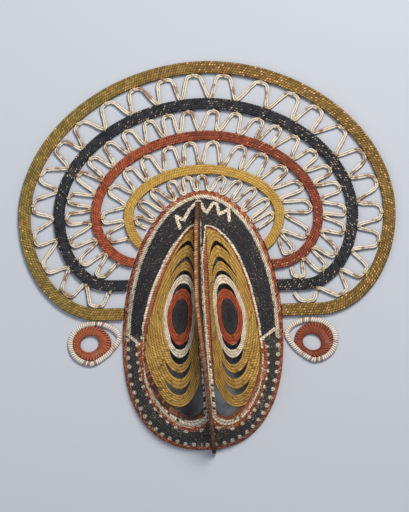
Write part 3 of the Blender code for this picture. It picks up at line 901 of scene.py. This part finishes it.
def eye_panel(side, word):
    lines = []
    for ring in EYE_RINGS:
        lines.append((ring, False))
        if ring[0] in SLITS:
            lines.append((ring, True))
    stations, slit_rows = panel_stations()
    columns = PANEL_COLUMNS
    rows = len(stations) - 1
    outline = opening_outline(side, GAP)
    ruler = Ruler(outline + outline[:1])
    middle = eye_centre(side)

    def line_point(number, angle):
        if number < 0:
            return middle
        ring, lip = lines[number]
        return ring_place(side, ring, angle, slit_swell(ring[0], angle) if lip else 0.0)

    def angle_of(i):
        return math.pi - math.tau * (i % columns) / columns

    def plan(i, j):
        line, share, _, _ = stations[j]
        angle = angle_of(i)
        return line_point(line, angle).lerp(line_point(line + 1, angle), share)

    def stitch_number(i, j):
        return i * STITCHES_ROUND[min(5, int(stations[j][3] - 0.0005))] / columns

    def place(i, j):
        point = plan(i, j)
        ring = stations[j][3]
        row = stations[j][2]
        share = min(1.0, egg_share(point.x, point.y))
        bulge = 0.0022 * max(0.0, 1 - (ring / 3.0) ** 2)
        sink = 0.0006 * (1 - arc(row)) + 0.0002 * (1 - arc(stitch_number(i, j)))
        return Vector((point.x, point.y, dome_height(share) - PANEL_RECESS + bulge - sink))

    def nose_distance(co):
        """How far a point lies from the right panel's nose edge, in millimetres."""
        if side < 0 or co.y > 0.100 or co.y < -0.050:
            return 99.0
        return abs(co.x - strip_x(co.y) - STRIP_HALF_WIDTH) * 1000

    bm = woven(columns, rows, place, lambda i, j: (stitch_number(i, j), stations[j][2]))
    paint = bm.verts.layers.float_vector.new("paint")
    bm.verts.ensure_lookup_table()
    slit_faces = []
    for number, vert in enumerate(bm.verts):
        ring = stations[number // (columns + 1)][3]
        vert[paint] = Vector((ring, nose_distance(vert.co), 0.0))
    for face in bm.faces:
        first = min(vert.index for vert in face.verts) // (columns + 1)
        if first in slit_rows:
            slit_faces.append(face)
    bmesh.ops.delete(bm, geom=slit_faces, context="FACES")
    weld(bm, 5e-6)
    trim(
        bm,
        lambda co: not inside_line(outline, co.x, co.y),
        lambda co: Vector((*ruler.nearest(co.x, co.y), co.z)),
    )
    weld(bm, 5e-6)
    face_up(bm)
    made = bmesh.ops.extrude_face_region(bm, geom=bm.faces[:], use_keep_orig=True)
    for item in made["geom"]:
        if isinstance(item, bmesh.types.BMVert):
            item.co.z -= PANEL_THICKNESS
        elif isinstance(item, bmesh.types.BMFace):
            item.material_index = 1
    show("panel_" + word, bm, "eye_panel_" + word, (panel_paint, bare_cane), 60.0)


eye_panel(-1, "left")
eye_panel(1, "right")

# %% [markdown]
# ## Nose fin
#
# The fin is coil work stood on edge, and its rows follow its front edge. The front row is
# orange brown, the sides are dark, and the right side is white at its foot. The left side is
# left without the white and the top end is darkened, both as painted shade. A grid is folded
# over the front edge, from the foot of one side to the foot of the other.

# %% The fin's finish
def fin_finish():
    finish = Finish("fin_paint", 0.8)
    weave = stitches(finish, 1.5)
    depth, side, _ = finish.attribute("paint")
    depth = depth + (weave["chance"] - 0.5) * 0.06 + (finish.cloud(300.0) - 0.5) * 0.10
    _, up, _ = finish.parts(finish.place())
    worn = weave["tooth"].rise(0.0, 0.25) * weave["second"].rise(0.25, 0.55)
    orange = finish.mix(worn, (0.330, 0.110, 0.038), (0.640, 0.400, 0.230))
    dull = finish.mix(worn, (0.190, 0.070, 0.038), (0.400, 0.210, 0.140))
    orange = finish.mix(up.rise(CENTRE.y + 0.020, CENTRE.y - 0.050), orange, dull)
    dark = specks_and_glints(finish, weave, (0.045, 0.028, 0.020), (0.26, 0.15, 0.08), 0.16)
    white = finish.mix(weave["chance"].rise(0.66, 0.74), CREAM, DARK)
    colour = finish.mix(depth.rise(0.07, 0.11), orange, dark)
    # The white foot goes on the right side only: the left side, which lies in the fin's shade, is kept
    # dark as painted shade.
    colour = finish.mix(depth.rise(0.60, 0.64) * side.rise(0.1, 0.3), colour, white)
    # Painted shade at the fin's top end, where it meets the forehead. Below it, the tip past the chin is
    # made darker as well.
    colour = finish.mix(up.rise(CENTRE.y + 0.138, CENTRE.y + 0.146), colour, (0.100, 0.045, 0.022))
    colour = finish.mix(up.rise(CENTRE.y - 0.124, CENTRE.y - 0.130), colour, (0.060, 0.030, 0.018))
    return sewn(finish, weave, colour, DARK, (0.45, 0.65, 0.9), 0.5, 0.4)


fin_paint = fin_finish()

# %% The fin's grid
NOSE_TOP = FACE_RISE - 0.014
NOSE_CHIN = -FACE_DROP - 0.004
NOSE_HALF = 0.00225
NOSE_ROOT = 0.0008
NOSE_HEIGHT = 0.046
NOSE_BOW = (0.15, 0.94)
NOSE_LEAN = 0.15
NOSE_LEAN_LEVEL = 0.045
NOSE_UPRIGHT_LEVEL = -0.0665
NOSE_ROW = 4.2
NOSE_STITCHES = 0.40


def nose_base(y):
    return dome_height(min(1.0, egg_share(strip_x(y), y)))


def nose_lean(y):
    """The fin leans over to the left above the chin and stands upright at its lower end."""
    share = (y - NOSE_UPRIGHT_LEVEL) / (NOSE_LEAN_LEVEL - NOSE_UPRIGHT_LEVEL)
    return NOSE_LEAN * min(1.0, share)


def nose_fin():
    columns, side_rows, front_rows = 300, 40, 8
    rows = 2 * side_rows + front_rows

    def fold(i, j):
        """Level, side, depth below the front and height above the dome of a grid point."""
        share = i / columns
        y = NOSE_TOP + (NOSE_CHIN - NOSE_TOP) * share
        bow = NOSE_BOW[0] + (NOSE_BOW[1] - NOSE_BOW[0]) * share
        stand = NOSE_HEIGHT * math.sin(math.pi * bow) - 0.0004
        base = nose_base(y)
        foot = max(0.0004, base - NOSE_ROOT)
        top = base + stand
        wall = top - NOSE_HALF - foot
        if j <= side_rows:
            return y, -1.0, (1 - j / side_rows), foot + wall * j / side_rows, wall, 0.0
        if j >= side_rows + front_rows:
            back = (rows - j) / side_rows
            return y, 1.0, 1 - back, foot + wall * back, wall, 0.0
        turn = math.pi * (j - side_rows) / front_rows
        height = top - NOSE_HALF + NOSE_HALF * math.sin(turn)
        return y, -math.cos(turn), 0.0, height, wall, math.sin(turn)

    def row_number(i, j):
        _, side, depth, _, wall, front = fold(i, j)
        below = depth * wall * 1000 / NOSE_ROW
        edge = 0.5 * (1 - front)
        return 8 + math.copysign(edge + below, side) if front < 1 else 8.0

    def place(i, j):
        y, side, depth, z, wall, front = fold(i, j)
        row = row_number(i, j) + 0.5
        sink = 0.0005 * (1 - arc(row)) + 0.0003 * (1 - arc(i * NOSE_STITCHES + 1.5 * (row % 1.0)))
        across = side * (NOSE_HALF - sink)
        lean = nose_lean(y) * max(0.0, z - nose_base(y))
        return Vector((strip_x(y) + across - lean, y, z - sink * front))

    bm = woven(columns, rows, place, lambda i, j: (i * NOSE_STITCHES, row_number(i, j) + 0.5))
    paint = bm.verts.layers.float_vector.new("paint")
    for number, vert in enumerate(bm.verts):
        i, j = number % (columns + 1), number // (columns + 1)
        _, side, depth, _, wall, _ = fold(i, j)
        vert[paint] = Vector((depth if wall > 0.012 else depth * wall / 0.045, side, 0.0))
    weld(bm, 1e-5)
    cap_ends(bm)
    show("fin", bm, "nose_ridge", (fin_paint,), 60.0)


nose_fin()

# %% [markdown]
# ## Crest bands
#
# A band is four or five rows of coil that lie side by side in a horseshoe. Its grid is
# wrapped round the band: half of it is the front and half the back, and every row stands up
# as a round rope. The outermost row shows each stitch in the outline, as on the real one.

# %% Finishes of the bands
def zones(finish):
    """How far to the left, to the right and down a place lies, each from 0 to 1."""
    across, up, _ = finish.parts(finish.place())
    wander = (finish.cloud(14.0, 2.0) - 0.5) * 0.10
    left = (across + wander).rise(CENTRE.x + 0.02, CENTRE.x - 0.12)
    right = (across + wander).rise(CENTRE.x - 0.02, CENTRE.x + 0.12)
    low = (up + wander).rise(CENTRE.y + 0.06, CENTRE.y - 0.04)
    return left, right, low


def olive_finish():
    finish = Finish("olive_paint", 0.8)
    weave = stitches(finish)
    left, right, low = zones(finish)
    paint = finish.mix(left, (0.215, 0.125, 0.032), (0.240, 0.165, 0.040))
    paint = finish.mix(low, paint, (0.370, 0.220, 0.045))
    paint = specks_and_glints(finish, weave, paint, (0.420, 0.150, 0.045), 0.22)
    # Painted highlights: light orange specks on stitch tops, more of them to the right, where the light
    # falls.
    paint = specks_and_glints(finish, weave, paint, (0.600, 0.360, 0.140), right * 0.26 + 0.06, 0.7, 21.0)
    return sewn(finish, weave, paint, DARK, (0.25, 0.5, 1.0), 0.7, 0.5)


def black_finish():
    finish = Finish("black_paint", 0.75)
    weave = stitches(finish)
    _, right, low = zones(finish)
    # Tan specks of worn cane on stitch tops; their rise to the right and fall towards the bottom is
    # painted highlight, where the light falls.
    share = right * 0.16 - low * 0.08 + 0.13
    paint = specks_and_glints(finish, weave, BLACK, (0.330, 0.245, 0.155), share, 0.8)
    return sewn(finish, weave, paint, (0.008, 0.008, 0.010), (0.25, 0.5, 1.0), 1.1, 0.5)


def red_finish():
    finish = Finish("red_paint", 0.82)
    weave = stitches(finish)
    left, right, low = zones(finish)
    paint = finish.mix(left.sum("MAXIMUM", low), (0.240, 0.055, 0.028), (0.350, 0.078, 0.033))
    paint = specks_and_glints(finish, weave, paint, (0.085, 0.030, 0.018), 0.20)
    # Painted highlights: orange specks on stitch tops, more of them to the right, where the light falls.
    paint = specks_and_glints(finish, weave, paint, (0.460, 0.210, 0.090), right * 0.22 + 0.03, 0.6, 23.0)
    return sewn(finish, weave, paint, (0.040, 0.012, 0.008), (0.25, 0.5, 0.95), 0.7, 0.4)


def gold_finish():
    finish = Finish("gold_paint", 0.8)
    weave = stitches(finish)
    _, _, low = zones(finish)
    paint = specks_and_glints(finish, weave, GOLD, (0.400, 0.110, 0.035), low * 0.18 + 0.02)
    return sewn(finish, weave, paint, (0.120, 0.055, 0.014), (0.15, 0.3, 0.65), 0.35, 0.3)


olive_paint = olive_finish()
black_paint = black_finish()
red_paint = red_finish()
gold_paint = gold_finish()

# %% Routes of the bands
CREST_LEVEL = FACE_RISE - 0.030
CREST_INSET = 0.0434
CREST_ROUNDNESS = 1.93
CREST_DROP = 0.043
BAND_THICKNESS = 0.0075
BAND_STEP = 0.0010
STEPS_A_ROW = 6
SLACK = 0.0002
Band = namedtuple("Band", "width gap_top gap_side gap_below corner shift turn segments")
BANDS = {
    "inner": Band(0.0126, 0.0189, 0.0310, 0.0, 0.036, 0.0012, 1.0, 30),
    "red": Band(0.0126, 0.0282, 0.0305, 0.003, 0.054, 0.0048, 0.0, 38),
    "black": Band(0.0144, 0.0249, 0.0292, 0.012, 0.060, 0.0035, 0.5, 46),
    "outer": Band(0.0156, 0.0288, 0.0280, 0.0172, 0.088, 0.0048, 1.6, 56),
}


def along(path, share):
    """Point at a share of the way along an open path."""
    steps = [(b - a).length for a, b in zip(path, path[1:])]
    left = share * sum(steps)
    for start, end, step in zip(path, path[1:], steps):
        if left <= step:
            return start.lerp(end, left / step if step else 0.0)
        left -= step
    return path[-1].copy()


def shifted(path, distance):
    moved = []
    for i, point in enumerate(path):
        ahead = path[min(i + 1, len(path) - 1)] - path[max(i - 1, 0)]
        ahead.normalize()
        moved.append(point + Vector((-ahead.y, ahead.x)) * distance)
    return moved


def horseshoe(half_width, top, drop, band):
    """Centre line of a crest band from its left end, over the top, to its right end."""
    right = []
    for i in range(49):
        turn = math.pi / 2 * i / 48
        x = half_width * math.sin(turn) ** (2 / CREST_ROUNDNESS)
        right.append(Vector((x, (top - CREST_LEVEL) * math.cos(turn) ** (2 / CREST_ROUNDNESS))))
    for i in range(1, 25):
        turn = math.pi / 2 * i / 24
        across = half_width - band.corner * (1 - math.cos(turn))
        right.append(Vector((across, -drop * math.sin(turn))))
    right.append(Vector((0.6 * min(half_width - band.corner, FACE_HALF_WIDTH), -drop)))
    left = [Vector((-point.x, point.y)) for point in right[:0:-1]]
    turned = Matrix.Rotation(math.radians(band.turn), 2)
    centre = Vector((band.shift, CREST_LEVEL))
    return [centre + turned @ point for point in left + right]


def crest_lines():
    half_width = FACE_HALF_WIDTH - CREST_INSET
    top = FACE_RISE
    drop = CREST_DROP
    lines = {}
    for name, band in BANDS.items():
        half = band.width / 2
        half_width += band.gap_side + half
        top += band.gap_top + half
        if lines:
            drop += band.gap_below + half
        lines[name] = horseshoe(half_width, top, drop, band)
        half_width += half
        top += half
        drop += half
    return lines


lines = crest_lines()
print({name: round(path_length(line), 3) for name, line in lines.items()}, "m")

# %% One band
def outside_face(x, y, margin=GAP):
    return egg_share(x, y, margin) > 1.0


def crest_band(name, coils, finish, pitch=0.0031):
    """A band of coils, wrapped from its outer edge over the front and back behind."""
    route = lines[name]
    columns = int(path_length(route) / BAND_STEP)
    points = resampled(route, columns)
    sides = shifted(points, 1.0)
    normals = [(side - point).normalized() for side, point in zip(sides, points)]
    half_rows = coils * STEPS_A_ROW
    rows = half_rows * 2
    half = BANDS[name].width / 2 - SLACK
    deep = BAND_THICKNESS / 2 - SLACK
    stitch_of = path_length(route) / columns / pitch

    def row_number(j):
        return j / STEPS_A_ROW if j <= half_rows else coils + (j - half_rows) / STEPS_A_ROW

    def place(i, j):
        front = j <= half_rows
        row = (j if front else rows - j) / STEPS_A_ROW
        edge = row <= 0.5 or row >= coils - 0.5
        swell = arc(row) if edge else 0.88 + 0.12 * arc(row)
        number = row_number(j)
        stitch = arc(i * stitch_of + 0.5 * math.floor(number) + 0.5 * (number % 1.0))
        across = half - 2 * half * row / coils
        if edge:
            across *= 1 - 0.13 * (1 - stitch)
        up = swell * (deep - 0.0007 * (1 - stitch)) * (1 if front else -1)
        point = points[i] + normals[i] * across
        return Vector((point.x, point.y, BAND_THICKNESS / 2 + up))

    bm = woven(columns, rows, place, lambda i, j: (i * stitch_of, row_number(j)))
    trim(
        bm,
        lambda co: not outside_face(co.x, co.y),
        lambda co: Vector((*(co.xy / egg_share(co.x, co.y, GAP)), co.z)),
    )
    weld(bm, 1e-6)
    cap_ends(bm)
    show("band_" + name, bm, "crest_band_" + name, (finish,), 70.0)


crest_band("outer", 5, olive_paint)
crest_band("black", 5, black_paint)
crest_band("red", 4, red_paint)
crest_band("inner", 4, gold_paint)

# %% [markdown]
# ## Split-cane lacing
#
# The lacing is bare split cane with a groove down its middle. It turns round below the outer
# band and runs to a narrow foot on the inner one. The strand is a grid swept along a smooth
# line, with small loops of cane that bind its heads and feet to the edge coils.

# %% The cane's finish
# The number of the line in the middle of the strand's front, where its groove is.
GROOVE = 4.0


def cane_finish(name, tone, dirt):
    finish = Finish(name, 0.7)
    uv = finish.node("ShaderNodeUVMap", {"uv_map": "weave"})
    length, round_it, _ = finish.parts(uv)
    streak_place = finish.node("ShaderNodeCombineXYZ", None, {0: length * 0.35, 1: round_it * 3.0})
    streak = finish.cloud(1.0, 3.0, streak_place)
    patch = finish.cloud(110.0, 3.0)
    groove = (round_it - GROOVE).sum("ABSOLUTE").rise(0.75, 0.15)
    side = round_it.rise(6.6, 7.4)
    edge = (round_it - GROOVE).sum("ABSOLUTE").rise(3.0, 4.0)
    colour = finish.mix(streak.rise(0.50, 0.75) * 0.8, tone, (0.60, 0.42, 0.27))
    colour = finish.mix(patch.rise(0.50, 0.62) * 0.8, colour, dirt)
    colour = finish.mix(groove * patch.rise(0.34, 0.48) * 0.9, colour, BROWN)
    colour = finish.mix(side.sum("MAXIMUM", edge * 0.7) * 0.9, colour, (0.090, 0.038, 0.018))
    height = streak + (1 - groove)
    return finish.wear(colour, height, 0.0004)


cream_cane = cane_finish("cream_cane", (0.80, 0.72, 0.59), (0.32, 0.15, 0.075))
tie_cane = cane_finish("tie_cane", (0.66, 0.52, 0.34), (0.36, 0.21, 0.10))

# %% Routes of the strands
# The band at its heads, its number of loops, and the shares at which it starts and stops.
LACINGS = {
    "face": ("inner", 11, 0.05, 0.95),
    "inner": ("red", 15, 0.035, 0.985),
    "middle": ("black", 25, 0.008, 0.992),
    "outer": ("outer", 24, 0.005, 0.995),
}
LACE_WIDTH = 0.0040
LACE_HEAD = ((-0.25, 0.78), (-0.13, 1.0), (0.13, 1.0), (0.25, 0.78))


def facing_share(path, point):
    """How far along a path, as a share, the place nearest to a point lies."""
    best = None
    walked = 0.0
    for start, end in zip(path, path[1:]):
        step = end - start
        part = min(1.0, max(0.0, (point - start).dot(step) / step.length_squared))
        away = (start + step * part - point).length
        if best is None or away < best[0]:
            best = (away, walked + step.length * part)
        walked += step.length
    return best[1] / walked


def lacing_route(outer_path, inner_path, loops, start, stop):
    """The strand's turning points, and the places where it is tied."""
    chance = random.Random(11)
    pitch = (stop - start) / loops
    foot = 0.58 * LACE_WIDTH / path_length(inner_path)

    def across_gap(share, out, beside=0.0):
        outer = along(outer_path, share)
        square = facing_share(inner_path, outer)
        inner = along(inner_path, share + (square - share) * 0.7 + beside)
        return inner.lerp(outer, out)

    feet = [start + pitch * i for i in range(loops + 1)]
    for i in range(1, loops):
        feet[i] += pitch * chance.uniform(-0.10, 0.10)
    route = []
    ties = []
    for left, right in zip(feet, feet[1:]):
        head = (left + right) / 2 + pitch * chance.uniform(-0.10, 0.10)
        route.append((across_gap(left, 0.0, foot), -1.0))
        for across, out in LACE_HEAD:
            route.append((across_gap(head + across * pitch, out), 0.0))
        route.append((across_gap(right, 0.0, -foot), 1.0))
        ties.append((across_gap(head, 1.0), across_gap(head, 0.5)))
        ties.append((across_gap(left, 0.0), across_gap(left, 0.5)))
    return route, ties


def smooth_line(route, steps):
    """A rounded line through points with a height each, as in a curve with soft handles."""
    made = []
    count = len(route)
    for i in range(count - 1):
        near = [route[max(0, min(count - 1, i + k))] for k in (-1, 0, 1, 2)]
        for step in range(steps):
            t = step / steps
            weights = (
                0.5 * (-t + 2 * t * t - t**3),
                0.5 * (2 - 5 * t * t + 3 * t**3),
                0.5 * (t + 4 * t * t - 3 * t**3),
                0.5 * (-t * t + t**3),
            )
            place = sum((point * w for (point, _), w in zip(near, weights)), Vector((0.0, 0.0)))
            lift = sum(height * w for (_, height), w in zip(near, weights))
            made.append(Vector((place.x, place.y, lift)))
    last, lift = route[-1]
    made.append(Vector((last.x, last.y, lift)))
    return made


# %% Strands and ties
CANE = ((-1.0, 0.0), (-0.86, 0.5), (-0.55, 0.95), (-0.25, 0.8), (0.0, 0.35), (0.25, 0.8),
        (0.55, 0.95), (0.86, 0.5), (1.0, 0.0), (0.6, -0.9), (-0.6, -0.9), (-1.0, 0.0))


def cane_strand(route, half_width, half_depth, level, sway, chance):
    """A strand of split cane along a smooth route."""
    line = smooth_line(route, 6)
    columns = len(line) - 1
    aheads = []
    for i in range(len(line)):
        ahead = line[min(i + 1, columns)] - line[max(i - 1, 0)]
        aheads.append(Vector((ahead.x, ahead.y)).normalized())
    widths = [1 + 0.16 * math.sin(i * 0.9) * chance.uniform(0.2, 1.0) for i in range(len(line))]
    walked = [0.0]
    for a, b in zip(line, line[1:]):
        walked.append(walked[-1] + (b.xy - a.xy).length * 1000)
    print("strand of split cane,", round(walked[-1]), "mm long")

    def place(i, j):
        across, up = CANE[j]
        side = Vector((-aheads[i].y, aheads[i].x)) * across * half_width * widths[i]
        z = level + line[i].z * sway + up * half_depth
        return Vector((line[i].x + side.x, line[i].y + side.y, z))

    return woven(columns, len(CANE) - 1, place, lambda i, j: (walked[i], float(j)))


TIE_WIDTH = 0.0026
TIE_REACH = 0.0029
TIE_HEIGHT = 0.0033


def tie(place, towards, chance):
    """A small loop of cane that binds the strand to a band's edge coil."""
    out = (place - towards).normalized()
    aside = Vector((-out.y, out.x))
    turn = chance.uniform(-0.35, 0.35)
    middle = place + out * 0.0012

    def spot(i, j):
        angle = math.tau * i / 12
        wide = (j / 3 - 0.5) * TIE_WIDTH
        lift = 0.0002 if j in (1, 2) else 0.0
        reach = math.cos(angle) * (TIE_REACH + lift)
        up = math.sin(angle) * (TIE_HEIGHT + lift)
        flat = middle + out * reach + aside * (wide + turn * reach)
        return Vector((flat.x, flat.y, 0.0040 + up))

    bm = woven(12, 3, spot, lambda i, j: (i * 1.4, 1.0 + j * 2.0))
    weld(bm)
    bmesh.ops.recalc_face_normals(bm, faces=bm.faces)
    bmesh.ops.solidify(bm, geom=bm.faces[:], thickness=0.0004)
    return bm


def rim_path(low_level, margin):
    turn = math.asin(low_level / FACE_RISE)
    angles = [math.pi - turn - (math.pi - 2 * turn) * i / 60 for i in range(61)]
    return [egg(angle, margin) for angle in angles]


def lacings():
    reach = GAP + LACE_WIDTH / 2
    inner_path = None
    for name, (band_name, loops, start, stop) in LACINGS.items():
        width = BANDS[band_name].width
        route = resampled(lines[band_name], BANDS[band_name].segments)
        outer_path = [p for p in shifted(route, -width / 2 - reach) if outside_face(p.x, p.y, reach)]
        if inner_path is None:
            inner_path = rim_path(outer_path[0].y, reach)
        turns, ties = lacing_route(outer_path, inner_path, loops, start, stop)
        chance = random.Random(len(name) + loops)
        whole = bmesh.new()
        strand = cane_strand(turns, LACE_WIDTH * 0.58, 0.0014, BAND_THICKNESS / 2, 0.0007, chance)
        weld(strand)
        cap_ends(strand)
        add_to(whole, strand)
        for place, towards in ties:
            if outside_face(place.x, place.y, 0.006):
                add_to(whole, tie(place, towards, chance), 1)
        weld(whole, 1e-7)
        show("cane_" + name, whole, "lacing_" + name, (cream_cane, tie_cane), 60.0)
        inner_path = [p for p in shifted(route, width / 2 + reach) if outside_face(p.x, p.y, reach)]


lacings()

# %% [markdown]
# ## Ears
#
# Each ear is a white rope loop, drawn to a point beside the cheek, with a red
# coiled ring inside it. The rope is wrapped at a slant, and the ring's stitches run straight
# out from its hole. Painted shade darkens the gaps between the wraps and between the stitches,
# most at their outer ends.

# %% Finishes of the ears
def rope_finish():
    finish = Finish("rope_paint", 0.85)
    weave = stitches(finish, 1.0)
    patch = finish.cloud(120.0, 3.0)
    grain = finish.cloud(900.0, 2.0)
    colour = finish.mix(patch.rise(0.55, 0.7) * 0.7, (0.80, 0.70, 0.60), (0.50, 0.24, 0.16))
    colour = finish.mix(weave["second"].rise(0.88, 0.94) * 0.8, colour, (0.28, 0.11, 0.06))
    # Painted shade in the gaps between the rope's wraps, in patches.
    gap_shade_mask = weave["stitch_back"].rise(0.6, 0.05) * patch.rise(0.25, 0.5)
    colour = finish.mix(gap_shade_mask * 0.9, colour, DARK)
    return finish.wear(colour, weave["stitch_back"] + grain * 0.3, 0.0008)


def disc_finish():
    finish = Finish("disc_paint", 0.84)
    weave = stitches(finish, 0.0)
    across, _, _ = finish.parts(finish.place())
    right = across.rise(CENTRE.x - 0.05, CENTRE.x + 0.05)
    patch = finish.cloud(80.0, 3.0)
    tone = finish.mix(right, (0.360, 0.095, 0.048), (0.250, 0.060, 0.033))
    light = finish.mix(right, (0.460, 0.140, 0.062), (0.350, 0.092, 0.044))
    colour = finish.mix(weave["chance"], tone, light)
    colour = finish.mix(patch.rise(0.5, 0.7) * 0.4, colour, (0.50, 0.26, 0.20))
    # Painted shade in the gaps between the ring's stitches, strongest at their outer ends.
    outer_end = weave["row"].rise(1.5, 1.9)
    gap_shade_mask = weave["stitch_back"].rise(0.6, 0.05)
    colour = finish.mix(gap_shade_mask * (outer_end * 0.4 + 0.55), colour, (0.045, 0.014, 0.010))
    return finish.wear(colour, weave["stitch_back"] * 0.9 + weave["row_back"] * 0.15, 0.0008)


rope_paint = rope_finish()
disc_paint = disc_finish()

# %% The ear loop and the ring in it
EAR_ROPE = 0.0054
EAR_THICKNESS = 0.0056
PEAR_POINT = 0.0335
PEAR_ROUND = 0.0272
PEAR_HALF_HEIGHT = 0.0248
PEAR_RISE = 0.008
HOLE = Vector((0.0113, 0.0094))
HOLE_TILT = 25.0
HOLE_ASIDE = {-1: Vector((-0.0030, 0.0)), 1: Vector((-0.0022, -0.0026))}
ROPE_SWELL = 1.3
ROPE_SHIFT = EAR_ROPE / 2 * (ROPE_SWELL - 1)


def pear(centre, side, inset=0.0, count=180):
    points = []
    for i in range(count):
        angle = math.tau * i / count
        across = math.cos(angle)
        up = math.sin(angle)
        power = 1.55 if across > 0 else 2.0
        reach = (PEAR_POINT if across > 0 else PEAR_ROUND) - inset
        x = math.copysign(abs(across) ** (2 / power), across) * reach
        y = math.copysign(abs(up) ** (2 / power), up) * (PEAR_HALF_HEIGHT - inset)
        y += PEAR_RISE * max(0.0, x / PEAR_POINT)
        points.append(centre + Vector((-side * x, y)))
    return points


def ear_loop(centre, side, word):
    outline = pear(centre, side, ROPE_SHIFT)
    columns, rows, wraps = 384, 12, 64
    route = resampled(outline + outline[:1], columns)
    radius = EAR_ROPE / 2 - 0.0001

    def place(i, j):
        i = i % columns
        ahead = (route[(i + 1) % columns] - route[i - 1]).normalized()
        angle = math.tau * j / rows
        wrap = arc(i * wraps / columns + j / rows)
        thick = 1 - 0.12 * (1 - wrap) - 0.05 * (1 + math.sin(i * 0.29) * math.sin(i * 0.13))
        side_way = Vector((-ahead.y, ahead.x)) * math.cos(angle) * radius * ROPE_SWELL * thick
        up = math.sin(angle) * (EAR_THICKNESS / 2 - 0.0001) * thick
        return Vector((route[i].x + side_way.x, route[i].y + side_way.y, EAR_THICKNESS / 2 + up))

    bm = woven(columns, rows, place, lambda i, j: (i * wraps / columns, j / rows))
    weld(bm)
    show("ear_loop_" + word, bm, "ear_ring_" + word, (rope_paint,), 70.0)


def ear_coil(centre, side, word):
    room = EAR_ROPE / 2 + ROPE_SHIFT
    limit = pear(centre, side, room)
    columns, coils, spokes = 216, 3, 36
    half_rows = coils * 5
    rows = 2 * half_rows
    tilt = Matrix.Rotation(math.radians(-side * HOLE_TILT), 2)
    outer_x = PEAR_ROUND - room
    outer_y = PEAR_HALF_HEIGHT - room

    def place(i, j):
        angle = math.tau * (i % columns) / columns
        round_it = Vector((HOLE.x * math.cos(angle), HOLE.y * math.sin(angle)))
        hole = tilt @ round_it + HOLE_ASIDE[side]
        edge = Vector((outer_x * math.cos(angle), outer_y * math.sin(angle)))
        towards = edge.normalized()
        reach = min(edge.length, ray_reach(limit, centre, towards))
        edge = towards * (reach - 0.0002)
        front = j <= half_rows
        row = j / 5 if front else (rows - j) / 5
        rim_row = row <= 0.5 or row >= coils - 0.5
        swell = arc(row) if rim_row else 0.90 + 0.10 * arc(row)
        stitch = arc(i * spokes / columns)
        spot = centre + hole.lerp(edge, row / coils)
        if row > coils - 0.5:
            spot = spot - towards * 0.0009 * (1 - stitch)
        deep = EAR_THICKNESS / 2 - 0.0002 - 0.0010 * (1 - stitch)
        return Vector((spot.x, spot.y, EAR_THICKNESS / 2 + swell * deep * (1 if front else -1)))

    def number(i, j):
        return i * spokes / columns, j / 5 if j <= half_rows else (rows - j) / 5

    bm = woven(columns, rows, place, number)
    weld(bm)
    show("ear_coil_" + word, bm, "ear_disc_" + word, (disc_paint,), 70.0)


for side, word in ((-1, "left"), (1, "right")):
    low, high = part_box("ear_ring_" + word)
    middle = (low + high) / 2 - CENTRE
    point_x = high.x - EAR_ROPE / 2 if side < 0 else low.x + EAR_ROPE / 2
    centre = Vector((point_x - CENTRE.x + side * PEAR_POINT, middle.y))
    ear_loop(centre, side, word)
    ear_coil(centre, side, word)

# %% [markdown]
# ## Floor, light and camera
#
# The mask lies on a plain pale floor and the camera looks straight down on it through a long
# lens, so that it is seen as it is in front view. A broad soft light from above on the right
# gives the fin its shadow, and a weaker one fills it from the left.

# %% Floor
bm = bmesh.new()
bmesh.ops.create_grid(bm, x_segments=1, y_segments=1, size=6.0)
floor_mesh = bpy.data.meshes.new("floor")
bm.to_mesh(floor_mesh)
bm.free()
floor = bpy.data.objects.new("floor", floor_mesh)
bpy.context.scene.collection.objects.link(floor)
floor_finish = Finish("floor_paint", 0.9)
floor_finish.shader.inputs["Base Color"].default_value = (0.52, 0.55, 0.60, 1.0)
floor_mesh.materials.append(floor_finish.material)
floor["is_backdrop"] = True

# %% Lights
def lamp(name, place, size, power, colour):
    light = bpy.data.lights.new(name, "AREA")
    light.size = size
    light.energy = power
    light.color = colour
    thing = bpy.data.objects.new(name, light)
    thing.location = place
    thing.rotation_euler = (-Vector(place)).to_track_quat("-Z", "Y").to_euler()
    bpy.context.scene.collection.objects.link(thing)


lamp("key", (0.45, 1.1, 1.7), 0.7, 41.0, (1.0, 0.96, 0.90))
lamp("fill", (-1.4, -0.4, 1.8), 1.6, 10.0, (0.86, 0.92, 1.0))
world = bpy.data.worlds.new("studio")
world.use_nodes = True
world.node_tree.nodes["Background"].inputs["Color"].default_value = (0.80, 0.86, 1.0, 1.0)
world.node_tree.nodes["Background"].inputs["Strength"].default_value = 0.30
bpy.context.scene.world = world
bpy.context.scene.view_settings.view_transform = "Standard"

# %% Camera
DISTANCE = 5.0
FOCUS_LEVEL = 0.02
PHOTO_HEIGHT = 512
METRES_A_PIXEL = 0.0012
VIEW_HEIGHT = PHOTO_HEIGHT * METRES_A_PIXEL
CAMERA_ASIDE = 0.0018
CAMERA_UP = 0.1008
camera = bpy.data.cameras.new("camera")
camera.lens = camera.sensor_width * (DISTANCE - FOCUS_LEVEL) / VIEW_HEIGHT
camera.clip_end = 20.0
camera_object = bpy.data.objects.new("camera", camera)
camera_object.location = (CENTRE.x + CAMERA_ASIDE, CENTRE.y + CAMERA_UP, DISTANCE)
bpy.context.scene.collection.objects.link(camera_object)
bpy.context.scene.camera = camera_object
print("lens", round(camera.lens, 1), "mm")

# %% Sizes
boxes = [[list(corner) for corner in box] for box in (solid_box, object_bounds())]
print("shown box", boxes[1])
